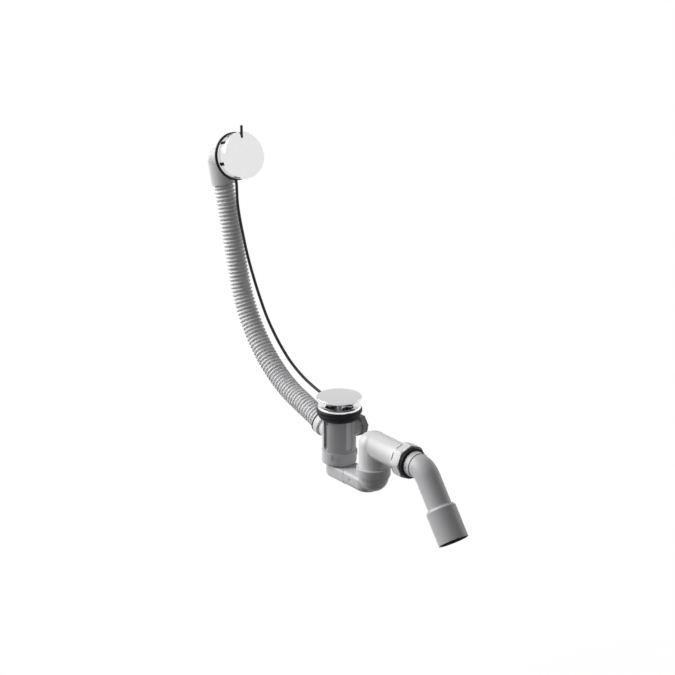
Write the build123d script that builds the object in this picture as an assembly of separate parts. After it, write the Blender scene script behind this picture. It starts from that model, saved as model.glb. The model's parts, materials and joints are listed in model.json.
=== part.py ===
from build123d import *
from math import asin, cos, degrees, radians, sin, tan
import os

# Bath waste and overflow. Turning the overflow cover pulls a cable, and a lever in the
# waste then lowers the plug. A low trap with a swivelling riser and outlet hangs below.
# Millimetres, +Z up. The origin is on the waste axis, level with the bath floor, and +X
# runs from the overflow towards the drain. Depths are measured down from the bath floor.

# Clearances
FIT = 0.2
SWIVEL_GAP = 0.3
RUNNING_GAP = 0.08

# Waste flange with its strainer
FLANGE_RADIUS = 36.0
FLANGE_RIM = 3.0
FLANGE_ROUNDING = 1.2
BOWL_RADIUS = 27.0
BOWL_DEPTH = 0.5
THROAT_RADIUS = 23.0
TUBE_WALL = 2.2
TUBE_DEPTH = 27.0
GUIDE_RADIUS = 7.0
GUIDE_DEPTH = 9.0
GUIDE_LENGTH = 12.0
SPOKE_COUNT = 4
SPOKE_WIDTH = 3.0
SPOKE_HEIGHT = 6.0

# Plug, drawn raised
PLUG_LIFT = 12.0
CAP_CLOSED_GAP = 0.5
CAP_RADIUS = 37.5
CAP_EDGE = 3.0
CAP_DOME = 0.9
CAP_ROUNDING = 1.0
CAP_BOSS_RADIUS = 8.0
CAP_BOSS_LENGTH = 6.5
PLUG_SEAL_THICKNESS = 4.0
PLUG_SEAL_GAP = 0.4
RETAINER_RADIUS = 20.0
STEM_RADIUS = 4.0
STEM_SHOULDER_RADIUS = 11.0
STEM_SHOULDER = 2.0
STEM_SOCKET = 5.0
STEM_END_DEPTH = 22.0
HEIGHT_SCREW_RADIUS = 2.5
HEIGHT_SCREW_REACH = 10.0
HEIGHT_HEAD_RADIUS = 4.5
HEIGHT_HEAD = 3.5
HEIGHT_NUT_FLATS = 8.0
HEIGHT_NUT = 2.5

# Gaskets under the flange
BATH_GASKET_RADIUS = 38.0
BATH_GASKET_THICKNESS = 10.0
BATH_GASKET_BEVEL = 3.0
BODY_GASKET_RADIUS = 35.0
BODY_GASKET_FOOT_RADIUS = 31.5
BODY_GASKET_CROWN = 4.0
BODY_GASKET_LIP = 1.4
GASKET_ROUNDING = 1.0

# Waste body
BODY_RADIUS = 28.0
BODY_BORE = 22.5
BODY_FLANGE_RADIUS = 30.0
BODY_FLANGE = 3.5
BODY_SHOULDER_DEPTH = 74.0
BODY_END_DEPTH = 88.0
NECK_RADIUS = 25.0
TUBE_SEAT_GAP = 1.0
PANEL_ANGLES = (0, -90)
PANEL_WIDTH = 12.0
PANEL_RECESS = 2.8
PANEL_END_DEPTH = 71.0

# Side port for the overflow hose
PORT_DEPTH = 54.0
PORT_RISE = 16.0
PORT_RADIUS = 18.0
PORT_BORE = 15.0
PORT_REACH = 42.0

# Lever that lifts the plug, on a shaft across the body
LEVER_ARM = 12.0
LEVER_TIP_RADIUS = 2.2
LEVER_TIP_GAP = 0.3
SHAFT_RADIUS = 3.0
SHAFT_TAIL = 5.0
SHAFT_COLLAR_RADIUS = 5.5
SHAFT_COLLAR = 2.0
FINGER_HUB_RADIUS = 4.7
FINGER_KNEE = (6.6, -4.3)
FINGER_WIDTH = 8.0
LEVER_CRANK = 10.0
CRANK_HUB_RADIUS = 5.5
CRANK_EYE_RADIUS = 2.6
CRANK_THICKNESS = 4.0
CRANK_PIN_RADIUS = 1.4
CRANK_PIN_LENGTH = 2.0

# Lever housing on the body's far side
CUP_FLOOR = 26.5
CUP_LENGTH = 10.5
CUP_WALL = 2.0
CUP_SWEEP_GAP = 0.6
CRANK_SIDE_GAP = 1.0
LEVER_SEAL_RADIUS = 5.2
LEVER_SEAL_LENGTH = 3.0
LEVER_CAP_WALL = 1.8
LEVER_CAP_SKIRT = 8.4
LEVER_CAP_LOBES = 7
LEVER_CAP_LOBE_START = 12.9
LEVER_CAP_LOBE_RADIUS = 3.4

# Overflow head: its seat on the bath wall and its tilt
OVERFLOW_REACH = 292.3
OVERFLOW_HEIGHT = 364.0
OVERFLOW_TILT = 15.7

# Overflow cover, pin and spindle; heights are in front of the bath wall
COVER_TURN = 70.0
COVER_RADIUS = 40.0
COVER_FACE = 26.5
COVER_SKIRT = 7.5
COVER_WALL = 1.8
COVER_ROUNDING = 2.6
COVER_BOSS_RADIUS = 9.0
COVER_BOSS_LENGTH = 6.0
PIN_RADIUS = 2.3
PIN_LENGTH = 21.5
PIN_LEAN = 15.7
PIN_PROUD = 1.4
PIN_ROUNDING = 1.0
PIN_SADDLE_WALL = 2.0
SPINDLE_RADIUS = 5.0
SPINDLE_COLLAR_RADIUS = 7.5
SPINDLE_COLLAR = 1.8
SPINDLE_CLIP = 1.5
GRUB_RADIUS = 2.0
GRUB_LENGTH = 5.0

# Overflow ring that clamps the bath wall
RING_RADIUS = 39.0
RING_PLATE = 3.5
RING_WALL_RADIUS = 36.5
RING_WALL = 2.4
RING_FRONT_GAP = 1.0
RING_SLOTS = 6
RING_SLOT_WIDTH = 6.0
RING_SLOT_START = 14.0
RING_MOUTH = 17.0
BEARING_RADIUS = 8.0
BEARING_LENGTH = 14.0
BEARING_SPOKES = 3
BEARING_SPOKE_WIDTH = 3.0
BEARING_SPOKE_HEIGHT = 5.0
RING_SPIGOT_RADIUS = 25.0
RING_SPIGOT_WALL = 1.6
RING_SPIGOT_LENGTH = 4.5
HEAD_SCREW_CIRCLE = 20.6
HEAD_SCREW_RADIUS = 2.2
HEAD_SCREW_LENGTH = 20.0
HEAD_SCREW_HEAD_RADIUS = 4.0
HEAD_SCREW_HEAD = 2.2

# Overflow gasket and elbow
WALL_GASKET_RADIUS = 41.0
WALL_GASKET_THICKNESS = 5.0
WALL_GASKET_ROUNDING = 1.6
ELBOW_FLANGE_RADIUS = 36.0
ELBOW_FLANGE = 4.0
ELBOW_RADIUS = 20.2
ELBOW_BORE = 17.4
ELBOW_DEPTH = 55.0
ELBOW_DROP = 46.0
ELBOW_TOP = 14.0
ELBOW_TOP_ROUNDING = 17.0
ELBOW_BOSS_RADIUS = 4.5
ELBOW_BOSS_LENGTH = 12.0
HOSE_STOP = 2.0
HOSE_STOP_BORE = 14.5
HOSE_SOCKET = 16.0

# Head crank on the spindle, and the gland that the cable leaves by
HEAD_CRANK_DEPTH = 26.0
HEAD_CRANK_THICKNESS = 6.0
HEAD_HUB_RADIUS = 7.2
GLAND_OFFSET = 8.0
GLAND_RADIUS = 4.2
GLAND_DROP = 34.0
LOWER_GLAND_RISE = 3.0
LOWER_GLAND_REACH = 34.0
GLAND_LEAD = 10.0

# Overflow hose
HOSE_CREST = 18.0
HOSE_ROOT = 15.8
HOSE_BORE = 14.5
HOSE_PITCH = 6.6
HOSE_BEND = 255.0
HOSE_NECK = 6.0
HOSE_FLANGE = 2.0
HOSE_WASHER = 1.5
HOSE_SEAL_DEPTH = 1.3
HOSE_SEAL_WIDTH = 3.0
COLLAR_RADIUS = 21.0
COLLAR_START = 36.5
COLLAR_LIP = 2.3
COLLAR_ROUNDING = 0.8
HOSE_CLIP_RADIUS = 21.5
HOSE_CLIP = 2.5

# Cable: sheath, wire and ferrules, and the points that the sheath runs by
SHEATH_RADIUS = 2.5
SHEATH_BORE = 1.1
WIRE_RADIUS = 0.8
FERRULE_RADIUS = 3.3
FERRULE_LENGTH = 12.0
FERRULE_CAP = 2.0
FERRULE_LIP_RADIUS = 4.0
FERRULE_LIP = 2.0
CABLE_POINTS = (
    (-299.1, 5.0, 277.1),
    (-289.4, 4.5, 245.7),
    (-274.9, 7.0, 193.4),
    (-257.5, 13.0, 139.2),
    (-233.4, 18.5, 86.7),
    (-205.3, 22.5, 50.2),
    (-174.4, 25.5, 22.1),
    (-138.3, 27.8, 3.0),
    (-101.9, 29.2, -7.8),
    (-68.9, 29.5, -13.5),
)
CABLE_ARC_SHARE = 0.45

# Union between the waste body and the trap
TRAP_NUT_RADIUS = 29.0
TRAP_NUT_END_DEPTH = 96.0
TRAP_NUT_LIP = 2.5
TRAP_NUT_BEVEL = 2.5
TRAP_NUT_LUGS = 3
TRAP_NUT_LUG_START = 53.0
TRAP_NUT_LUG_WIDTH = 5.0
TRAP_NUT_LUG_PROUD = 1.0
TRAP_NUT_LUG_HEIGHT = 9.0
TRAP_WASHER = 2.2
TRAP_FLANGE = 3.0

# Trough of the trap
INLET_RADIUS = 22.0
TRAP_WALL = 2.5
TROUGH_TOP_DEPTH = 98.0
TROUGH_HEIGHT = 23.0
TROUGH_FOOT_ROUNDING = 8.0
TROUGH_TOP_ROUNDING = 3.0
TROUGH_SEAM = 42.0
TROUGH_END = 78.0
SLEEVE_STEP = 1.0
SLEEVE_RISE = 2.7
SLEEVE_FOOT_ROUNDING = 11.0
TROUGH_OVERLAP = 12.0
TRAP_SPAN = 94.0
LATCH_WIDTH = 5.0
LATCH_HEIGHT = 4.0

# Cup that the riser turns in, with a round bowl below its socket
CUP_RIM_DEPTH = 74.0
CUP_STEP_DEPTH = 94.0
SOCKET_RADIUS = 26.2
SOCKET_ROUNDING = 1.0
BOWL_BALL_RADIUS = 25.0
BOWL_BALL_DEPTH = 92.5
CUP_SEAL_DEPTH = 81.0
CUP_SEAL_WIDTH = 4.0
CUP_SEAL_THICKNESS = 1.4

# Riser elbow
RISER_SPIGOT_RADIUS = 22.6
RISER_SPIGOT_END = 91.0
RISER_LEG_RADIUS = 24.4
RISER_LEG_ROUNDING = 20.0
RISER_TOP_DEPTH = 15.5
RISER_RADIUS = 22.3
RISER_BORE = 19.6
OUTLET_DEPTH = 36.0
RISER_THREAD_RADIUS = 24.0
RISER_THREAD_LENGTH = 18.0
RISER_END = 189.0

# Union nut and seal of the outlet
UNION_FLATS = 54.0
UNION_CORNER_RADIUS = 28.8
UNION_SIDES = 8
UNION_START = 172.5
UNION_LIP = 4.0
UNION_BEVEL = 2.0
UNION_NOTCH_WIDTH = 13.0
UNION_NOTCH_LENGTH = 3.0
UNION_NOTCH_DEPTH = 1.6
UNION_NOTCH_INSET = 1.6
UNION_SEAL_RADIUS = 25.2
UNION_SEAL_FLANGE = 5.5
UNION_SEAL_SLEEVE = 1.7
UNION_SEAL_ROUNDING = 0.8

# Outlet bend
OUTLET_RADIUS = 20.0
OUTLET_BORE = 18.0
OUTLET_START = 175.0
OUTLET_VERTEX = 227.0
OUTLET_BEND = 30.0
OUTLET_ANGLE = 52.5
OUTLET_LENGTH = 97.0
OUTLET_BAND_RADIUS = 21.2
OUTLET_BAND_START = 199.5
OUTLET_BAND_LENGTH = 11.5
OUTLET_MARK_RADIUS = 2.0
OUTLET_MARK_PLACE = 206.0
OUTLET_MARK_RECESS = 0.8

# Drain adapter on the outlet's end
ADAPTER_RADIUS = 25.0
ADAPTER_MOUTH_BORE = 22.6
ADAPTER_START = 66.0
ADAPTER_LENGTH = 58.0
ADAPTER_RIM_RADIUS = 22.2
ADAPTER_SHOULDER = 4.0
ADAPTER_STOP = 2.5
ADAPTER_SEAL_INSET = 6.0
ADAPTER_SEAL_WIDTH = 4.0
ADAPTER_SEAL_THICKNESS = 1.6

# Levels and places worked out from the sizes above
CAP_BASE = FLANGE_RIM + CAP_CLOSED_GAP + PLUG_LIFT
TUBE_RADIUS = THROAT_RADIUS + TUBE_WALL
BODY_TOP_DEPTH = BATH_GASKET_THICKNESS + BODY_GASKET_CROWN
GASKET_BORE = TUBE_RADIUS + FIT
HEIGHT_END_DEPTH = STEM_END_DEPTH + HEIGHT_NUT + HEIGHT_HEAD
LEVER_SWING = degrees(asin(PLUG_LIFT / 2 / LEVER_ARM))
LEVER_X = LEVER_ARM * cos(radians(LEVER_SWING))
LEVER_DEPTH = HEIGHT_END_DEPTH + LEVER_TIP_GAP + LEVER_TIP_RADIUS + PLUG_LIFT / 2
HEAD_CRANK = LEVER_CRANK * sin(radians(LEVER_SWING)) / sin(radians(COVER_TURN / 2))
CRANK_MIDDLE = CUP_FLOOR + CRANK_SIDE_GAP + CRANK_THICKNESS / 2
CUP_INNER_RADIUS = LEVER_CRANK + CRANK_EYE_RADIUS + CUP_SWEEP_GAP
CUP_RADIUS = CUP_INNER_RADIUS + CUP_WALL
CUP_END = CUP_FLOOR + CUP_LENGTH
HOSE_CUFF = ELBOW_BORE - SWIVEL_GAP
HOSE_FLANGE_START = PORT_REACH + HOSE_WASHER
HOSE_FLANGE_END = HOSE_FLANGE_START + HOSE_FLANGE
COLLAR_END = HOSE_FLANGE_END + FIT + COLLAR_LIP
SLEEVE_RADIUS = INLET_RADIUS + SLEEVE_STEP
TONGUE_RADIUS = SLEEVE_RADIUS - TRAP_WALL - FIT
TROUGH_BOTTOM_DEPTH = TROUGH_TOP_DEPTH + TROUGH_HEIGHT
WASHER_END_DEPTH = BODY_END_DEPTH + TRAP_WASHER
INLET_FLANGE_END = WASHER_END_DEPTH + TRAP_FLANGE
INLET_FLANGE_RADIUS = NECK_RADIUS - FIT
UNION_END = RISER_END + FIT + UNION_LIP

# Working planes: local z runs along each group's own axis
HEAD = Plane(
    origin=(-OVERFLOW_REACH, 0, OVERFLOW_HEIGHT),
    x_dir=(0, 1, 0),
    z_dir=(cos(radians(OVERFLOW_TILT)), 0, sin(radians(OVERFLOW_TILT))),
)
PORT = Plane(
    origin=(0, 0, -PORT_DEPTH),
    x_dir=(0, 1, 0),
    z_dir=(-cos(radians(PORT_RISE)), 0, sin(radians(PORT_RISE))),
)
LEVER = Plane(origin=(LEVER_X, 0, -LEVER_DEPTH), x_dir=(-1, 0, 0), z_dir=(0, 1, 0))
LOWER_GLAND = Plane(
    origin=(LEVER_X, CRANK_MIDDLE, -LEVER_DEPTH + LEVER_CRANK * cos(radians(LEVER_SWING / 2))),
    x_dir=(0, 1, 0),
    z_dir=(-cos(radians(LOWER_GLAND_RISE)), 0, sin(radians(LOWER_GLAND_RISE))),
)
UPPER_GLAND = Plane(
    origin=HEAD.from_local_coords(Vector(GLAND_OFFSET, 0, -HEAD_CRANK_DEPTH)),
    x_dir=(0, 1, 0),
    z_dir=-HEAD.y_dir,
)
OUTLET = Plane(origin=(0, 0, -OUTLET_DEPTH), x_dir=(0, 1, 0), z_dir=(1, 0, 0))
DRAIN = Plane(
    origin=(OUTLET_VERTEX, 0, -OUTLET_DEPTH),
    x_dir=(0, 1, 0),
    z_dir=(cos(radians(OUTLET_ANGLE)), 0, -sin(radians(OUTLET_ANGLE))),
)
RISER = Plane(origin=(TRAP_SPAN, 0, 0))


def turned(*corners):
    """Solid of revolution about Z; a corner is (radius, height) or (radius, height, rounding)."""
    points = [corner[:2] for corner in corners]
    roundings = [corner[2] if len(corner) > 2 else 0 for corner in corners]
    outline = FilletPolyline(*points, radius=roundings, close=True)
    return revolve(Plane.XZ * make_face(outline), Axis.Z)


def rod(radius, start, end):
    """Round bar along Z between two heights."""
    return Pos(0, 0, start) * Cylinder(radius, end - start, align=(Align.CENTER, Align.CENTER, Align.MIN))


def tube(outer, inner, start, end):
    """Plain ring along Z between two heights."""
    return rod(outer, start, end) - rod(inner, start, end)


def swept(section, path):
    """Sketch swept square to a path from its start."""
    return sweep(Plane(origin=path @ 0, x_dir=(0, 1, 0), z_dir=path % 0) * section, path=path)


def placed(plane, shape):
    """Shape moved from the origin's frame into a working plane."""
    return plane.location * shape


def arm_plate(hub_radius, eye_radius, reach, thickness):
    """Flat arm from a hub at the origin to an eye on +X, standing on XY."""
    hub = Circle(hub_radius)
    eye = Pos(reach, 0) * Circle(eye_radius)
    return extrude(make_hull([*hub.edges(), *eye.edges()]), thickness)


def bowl_radius(height):
    """Radius of the flange's conical bowl at a height."""
    slope = (BOWL_RADIUS - THROAT_RADIUS) / (FLANGE_RIM + BOWL_DEPTH)
    return THROAT_RADIUS + (height + BOWL_DEPTH) * slope


# Waste and plug


def waste_flange():
    shell = turned(
        (THROAT_RADIUS, -TUBE_DEPTH),
        (TUBE_RADIUS, -TUBE_DEPTH),
        (TUBE_RADIUS, 0),
        (FLANGE_RADIUS, 0),
        (FLANGE_RADIUS, FLANGE_RIM, FLANGE_ROUNDING),
        (BOWL_RADIUS, FLANGE_RIM, FLANGE_ROUNDING),
        (THROAT_RADIUS, -BOWL_DEPTH),
    )
    guide = rod(GUIDE_RADIUS, -GUIDE_DEPTH - GUIDE_LENGTH, -GUIDE_DEPTH)
    spoke_length = THROAT_RADIUS + TUBE_WALL / 2
    spoke = Box(spoke_length, SPOKE_WIDTH, SPOKE_HEIGHT)
    spoke = Pos(spoke_length / 2, 0, -GUIDE_DEPTH - GUIDE_LENGTH / 2) * spoke
    shell += guide
    for index in range(SPOKE_COUNT):
        shell += Rot(0, 0, 45 + 360 / SPOKE_COUNT * index) * spoke
    return shell - rod(STEM_RADIUS + RUNNING_GAP, -TUBE_DEPTH, 0)


def plug_cap():
    crown = CAP_BASE + CAP_EDGE + CAP_DOME
    dome_radius = (CAP_RADIUS**2 + CAP_DOME**2) / (2 * CAP_DOME)
    disc = rod(CAP_RADIUS, CAP_BASE, crown) & Pos(0, 0, crown - dome_radius) * Sphere(dome_radius)
    rims = disc.edges().filter_by(GeomType.CIRCLE).filter_by(lambda edge: edge.radius < dome_radius / 2)
    disc = fillet(rims, CAP_ROUNDING)
    boss_base = CAP_BASE - CAP_BOSS_LENGTH
    cap = disc + rod(CAP_BOSS_RADIUS, boss_base, CAP_BASE)
    return cap - rod(STEM_RADIUS + FIT, boss_base, boss_base + STEM_SOCKET + FIT)


def plug_seal():
    base = CAP_BASE - PLUG_SEAL_THICKNESS
    return turned(
        (CAP_BOSS_RADIUS + FIT, base),
        (bowl_radius(base - PLUG_LIFT) - PLUG_SEAL_GAP, base),
        (bowl_radius(CAP_BASE - PLUG_LIFT) - PLUG_SEAL_GAP, CAP_BASE),
        (CAP_BOSS_RADIUS + FIT, CAP_BASE),
    )


def plug_retainer():
    return tube(
        RETAINER_RADIUS, CAP_BOSS_RADIUS + FIT, CAP_BASE - CAP_BOSS_LENGTH, CAP_BASE - PLUG_SEAL_THICKNESS
    )


def plug_stem():
    shoulder_top = CAP_BASE - CAP_BOSS_LENGTH
    stem = rod(STEM_RADIUS, -STEM_END_DEPTH, shoulder_top + STEM_SOCKET)
    stem += rod(STEM_SHOULDER_RADIUS, shoulder_top - STEM_SHOULDER, shoulder_top)
    return stem - rod(HEIGHT_SCREW_RADIUS + FIT, -STEM_END_DEPTH, -STEM_END_DEPTH + HEIGHT_SCREW_REACH + FIT)


def height_screw():
    head_top = -STEM_END_DEPTH - HEIGHT_NUT
    shank = rod(HEIGHT_SCREW_RADIUS, head_top, -STEM_END_DEPTH + HEIGHT_SCREW_REACH)
    return shank + rod(HEIGHT_HEAD_RADIUS, head_top - HEIGHT_HEAD, head_top)


def height_nut():
    hexagon = RegularPolygon(HEIGHT_NUT_FLATS / 2, 6, major_radius=False)
    sketch = hexagon - Circle(HEIGHT_SCREW_RADIUS + FIT)
    return Pos(0, 0, -STEM_END_DEPTH - HEIGHT_NUT) * extrude(sketch, HEIGHT_NUT)


def bath_gasket():
    foot = -BATH_GASKET_THICKNESS
    return turned(
        (GASKET_BORE, foot),
        (BODY_GASKET_RADIUS, foot, GASKET_ROUNDING),
        (BATH_GASKET_RADIUS, foot + BATH_GASKET_BEVEL, GASKET_ROUNDING),
        (BATH_GASKET_RADIUS, -BATH_GASKET_BEVEL, GASKET_ROUNDING),
        (FLANGE_RADIUS, 0),
        (GASKET_BORE, 0),
    )


def body_gasket():
    crown = -BATH_GASKET_THICKNESS
    seat = -BODY_TOP_DEPTH
    lip_top = seat - BODY_FLANGE
    foot = lip_top - BODY_GASKET_LIP
    return turned(
        (GASKET_BORE, crown),
        (BODY_GASKET_RADIUS, crown, GASKET_ROUNDING),
        (BODY_GASKET_RADIUS, seat, GASKET_ROUNDING),
        (BODY_GASKET_FOOT_RADIUS, foot, GASKET_ROUNDING),
        (BODY_RADIUS + FIT, foot),
        (BODY_RADIUS + FIT, lip_top),
        (BODY_FLANGE_RADIUS + FIT, lip_top),
        (BODY_FLANGE_RADIUS + FIT, seat),
        (GASKET_BORE, seat),
    )


def panel_recess(angle):
    """Tool for one tall recessed panel with a round foot in the body's wall."""
    top = -BODY_TOP_DEPTH
    height = PANEL_END_DEPTH + top
    sketch = Pos(0, top - height / 2) * Rectangle(PANEL_WIDTH, height)
    sketch = fillet(sketch.vertices().group_by(Axis.Y)[0], PANEL_WIDTH / 2 - FIT)
    wall = Plane(origin=(BODY_RADIUS - PANEL_RECESS, 0, 0), x_dir=(0, 1, 0), z_dir=(1, 0, 0))
    return Rot(0, 0, angle) * extrude(wall * sketch, PANEL_RECESS * 2)


def waste_body():
    flange_base = -BODY_TOP_DEPTH - BODY_FLANGE
    body = rod(BODY_RADIUS, -BODY_SHOULDER_DEPTH, -BODY_TOP_DEPTH)
    for angle in PANEL_ANGLES:
        body -= panel_recess(angle)
    body += rod(BODY_FLANGE_RADIUS, flange_base, -BODY_TOP_DEPTH)
    body += rod(NECK_RADIUS, -BODY_END_DEPTH, -BODY_SHOULDER_DEPTH)
    body += placed(PORT, rod(PORT_RADIUS, 0, PORT_REACH))
    body += placed(LEVER, rod(CUP_RADIUS, 0, CUP_END))
    body += placed(LOWER_GLAND, rod(GLAND_RADIUS, 0, LOWER_GLAND_REACH))
    body -= rod(GASKET_BORE, -TUBE_DEPTH - TUBE_SEAT_GAP, -BODY_TOP_DEPTH)
    body -= rod(BODY_BORE, -BODY_END_DEPTH, -TUBE_DEPTH - TUBE_SEAT_GAP)
    body -= placed(PORT, rod(PORT_BORE, 0, PORT_REACH))
    body -= placed(LEVER, rod(CUP_INNER_RADIUS, CUP_FLOOR, CUP_END))
    body -= placed(LEVER, rod(LEVER_SEAL_RADIUS + FIT, CUP_FLOOR - LEVER_SEAL_LENGTH - FIT, CUP_FLOOR))
    body -= placed(LEVER, rod(SHAFT_RADIUS + RUNNING_GAP, 0, CUP_FLOOR))
    body -= placed(LOWER_GLAND, rod(SHEATH_BORE, 0, LOWER_GLAND_REACH))
    ferrule_seat = LOWER_GLAND_REACH - FERRULE_LENGTH - FIT
    return body - placed(LOWER_GLAND, rod(FERRULE_RADIUS + FIT, ferrule_seat, LOWER_GLAND_REACH))


# Lever in the waste


def lever_shaft():
    wall = (BODY_BORE**2 - (LEVER_X + SHAFT_COLLAR_RADIUS) ** 2) ** 0.5
    shaft = rod(SHAFT_RADIUS, -SHAFT_TAIL, CRANK_MIDDLE + CRANK_THICKNESS)
    collar = rod(SHAFT_COLLAR_RADIUS, wall - SWIVEL_GAP - SHAFT_COLLAR, wall - SWIVEL_GAP)
    return placed(LEVER, shaft + collar)


def lever_finger():
    hub = Circle(FINGER_HUB_RADIUS)
    knee = Pos(*FINGER_KNEE) * Circle(LEVER_TIP_RADIUS)
    tip = Pos(LEVER_ARM, 0) * Circle(LEVER_TIP_RADIUS)
    outline = make_hull([*hub.edges(), *knee.edges()]) + make_hull([*knee.edges(), *tip.edges()])
    plate = extrude(outline - Circle(SHAFT_RADIUS + FIT), FINGER_WIDTH)
    return placed(LEVER, Pos(0, 0, -FINGER_WIDTH / 2) * Rot(0, 0, LEVER_SWING) * plate)


def lever_crank():
    plate = arm_plate(CRANK_HUB_RADIUS, CRANK_EYE_RADIUS, LEVER_CRANK, CRANK_THICKNESS)
    plate -= rod(SHAFT_RADIUS + FIT, 0, CRANK_THICKNESS)
    plate += Pos(LEVER_CRANK, 0, 0) * rod(CRANK_PIN_RADIUS, 0, CRANK_THICKNESS + CRANK_PIN_LENGTH)
    return placed(LEVER, Pos(0, 0, CUP_FLOOR + CRANK_SIDE_GAP) * Rot(0, 0, 90 + LEVER_SWING) * plate)


def lever_seal():
    return placed(
        LEVER, tube(LEVER_SEAL_RADIUS, SHAFT_RADIUS + SWIVEL_GAP, CUP_FLOOR - LEVER_SEAL_LENGTH, CUP_FLOOR)
    )


def lever_cap():
    outer = CUP_RADIUS + FIT + LEVER_CAP_WALL
    start = CUP_END - LEVER_CAP_SKIRT
    top = CUP_END + LEVER_CAP_WALL
    cap = rod(outer, start, top)
    lobe = Pos(outer - LEVER_CAP_WALL, 0, 0) * rod(LEVER_CAP_LOBE_RADIUS, start, top)
    for index in range(LEVER_CAP_LOBES):
        cap += Rot(0, 0, LEVER_CAP_LOBE_START + 360 / LEVER_CAP_LOBES * index) * lobe
    cap = placed(LEVER, cap - rod(CUP_RADIUS + FIT, start, CUP_END))
    return cap - placed(LOWER_GLAND, rod(GLAND_RADIUS + SWIVEL_GAP, 0, LOWER_GLAND_REACH))


# Overflow head


def pin_axis():
    """Plane on the pin's middle, with z along the pin, in the head's frame."""
    lean = radians(PIN_LEAN)
    return Plane(
        origin=(0, COVER_RADIUS, COVER_FACE + PIN_PROUD), x_dir=(1, 0, 0), z_dir=(0, cos(lean), sin(lean))
    )


def cover_block(inset):
    """Closed form of the cover, or of its inside when inset by the wall."""
    return turned(
        (0, COVER_FACE - COVER_SKIRT),
        (COVER_RADIUS - inset, COVER_FACE - COVER_SKIRT),
        (COVER_RADIUS - inset, COVER_FACE - inset, COVER_ROUNDING - inset),
        (0, COVER_FACE - inset),
    )


def overflow_cover():
    outside = cover_block(0)
    inside = COVER_FACE - COVER_WALL
    cover = outside - cover_block(COVER_WALL)
    cover += rod(COVER_BOSS_RADIUS, inside - COVER_BOSS_LENGTH, inside)
    saddle = placed(pin_axis(), rod(PIN_RADIUS + FIT + PIN_SADDLE_WALL, -PIN_LENGTH / 2 - PIN_SADDLE_WALL, 0))
    cover += saddle & outside
    cover -= placed(pin_axis(), rod(PIN_RADIUS + FIT, -PIN_LENGTH / 2 - FIT, PIN_LENGTH / 2))
    cover -= rod(SPINDLE_RADIUS + FIT, inside - COVER_BOSS_LENGTH, inside - FIT)
    grub_hole = Plane(origin=(0, 0, inside - COVER_BOSS_LENGTH / 2), z_dir=(0, -1, 0))
    cover -= placed(grub_hole, rod(GRUB_RADIUS + FIT, 0, COVER_BOSS_RADIUS))
    return placed(HEAD, cover)


def cover_pin():
    pin = rod(PIN_RADIUS, -PIN_LENGTH / 2, PIN_LENGTH / 2)
    pin = fillet(pin.edges().filter_by(GeomType.CIRCLE), PIN_ROUNDING)
    return placed(HEAD, placed(pin_axis(), pin))


def drive_spindle():
    front = COVER_FACE - COVER_WALL - 2 * FIT
    spindle = rod(SPINDLE_RADIUS, -HEAD_CRANK_DEPTH - HEAD_CRANK_THICKNESS / 2, front)
    collar_back = BEARING_LENGTH + FIT
    spindle += rod(SPINDLE_COLLAR_RADIUS, collar_back, collar_back + SPINDLE_COLLAR)
    return placed(HEAD, spindle)


def spindle_clip():
    return placed(
        HEAD, tube(SPINDLE_COLLAR_RADIUS, SPINDLE_RADIUS + FIT, -SWIVEL_GAP - SPINDLE_CLIP, -SWIVEL_GAP)
    )


def head_crank():
    plate = arm_plate(HEAD_HUB_RADIUS, CRANK_EYE_RADIUS, HEAD_CRANK, HEAD_CRANK_THICKNESS)
    plate -= rod(SPINDLE_RADIUS + FIT, 0, HEAD_CRANK_THICKNESS)
    plate = Pos(0, 0, -HEAD_CRANK_DEPTH - HEAD_CRANK_THICKNESS / 2) * Rot(0, 0, -COVER_TURN / 2) * plate
    return placed(HEAD, plate)


def cover_grub_screw():
    axis = Plane(origin=(0, 0, COVER_FACE - COVER_WALL - COVER_BOSS_LENGTH / 2), z_dir=(0, -1, 0))
    start = SPINDLE_RADIUS + FIT
    return placed(HEAD, placed(axis, rod(GRUB_RADIUS, start, start + GRUB_LENGTH)))


def overflow_ring():
    wall_front = COVER_FACE - COVER_SKIRT - RING_FRONT_GAP
    ring = tube(RING_RADIUS, RING_MOUTH, 0, RING_PLATE)
    wall = tube(RING_WALL_RADIUS, RING_WALL_RADIUS - RING_WALL, RING_PLATE, wall_front)
    slot_height = wall_front - RING_PLATE
    slot = Box(RING_WALL * 4, RING_SLOT_WIDTH, slot_height)
    slot = Pos(RING_WALL_RADIUS, 0, RING_PLATE + slot_height / 2) * slot
    for index in range(RING_SLOTS):
        wall -= Rot(0, 0, RING_SLOT_START + 360 / RING_SLOTS * index) * slot
    ring += wall
    ring += rod(BEARING_RADIUS, 0, BEARING_LENGTH)
    spoke = Pos(RING_MOUTH / 2, 0, BEARING_SPOKE_HEIGHT / 2) * Box(
        RING_MOUTH + RING_WALL, BEARING_SPOKE_WIDTH, BEARING_SPOKE_HEIGHT
    )
    for index in range(BEARING_SPOKES):
        ring += Rot(0, 0, 90 + 360 / BEARING_SPOKES * index) * spoke
    ring += tube(RING_SPIGOT_RADIUS, RING_SPIGOT_RADIUS - RING_SPIGOT_WALL, -RING_SPIGOT_LENGTH, 0)
    ring -= rod(SPINDLE_RADIUS + RUNNING_GAP, 0, BEARING_LENGTH)
    for side in (-1, 1):
        place = Pos(side * HEAD_SCREW_CIRCLE, 0, 0)
        ring -= place * rod(HEAD_SCREW_RADIUS + FIT, 0, RING_PLATE)
    return placed(HEAD, ring)


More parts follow.
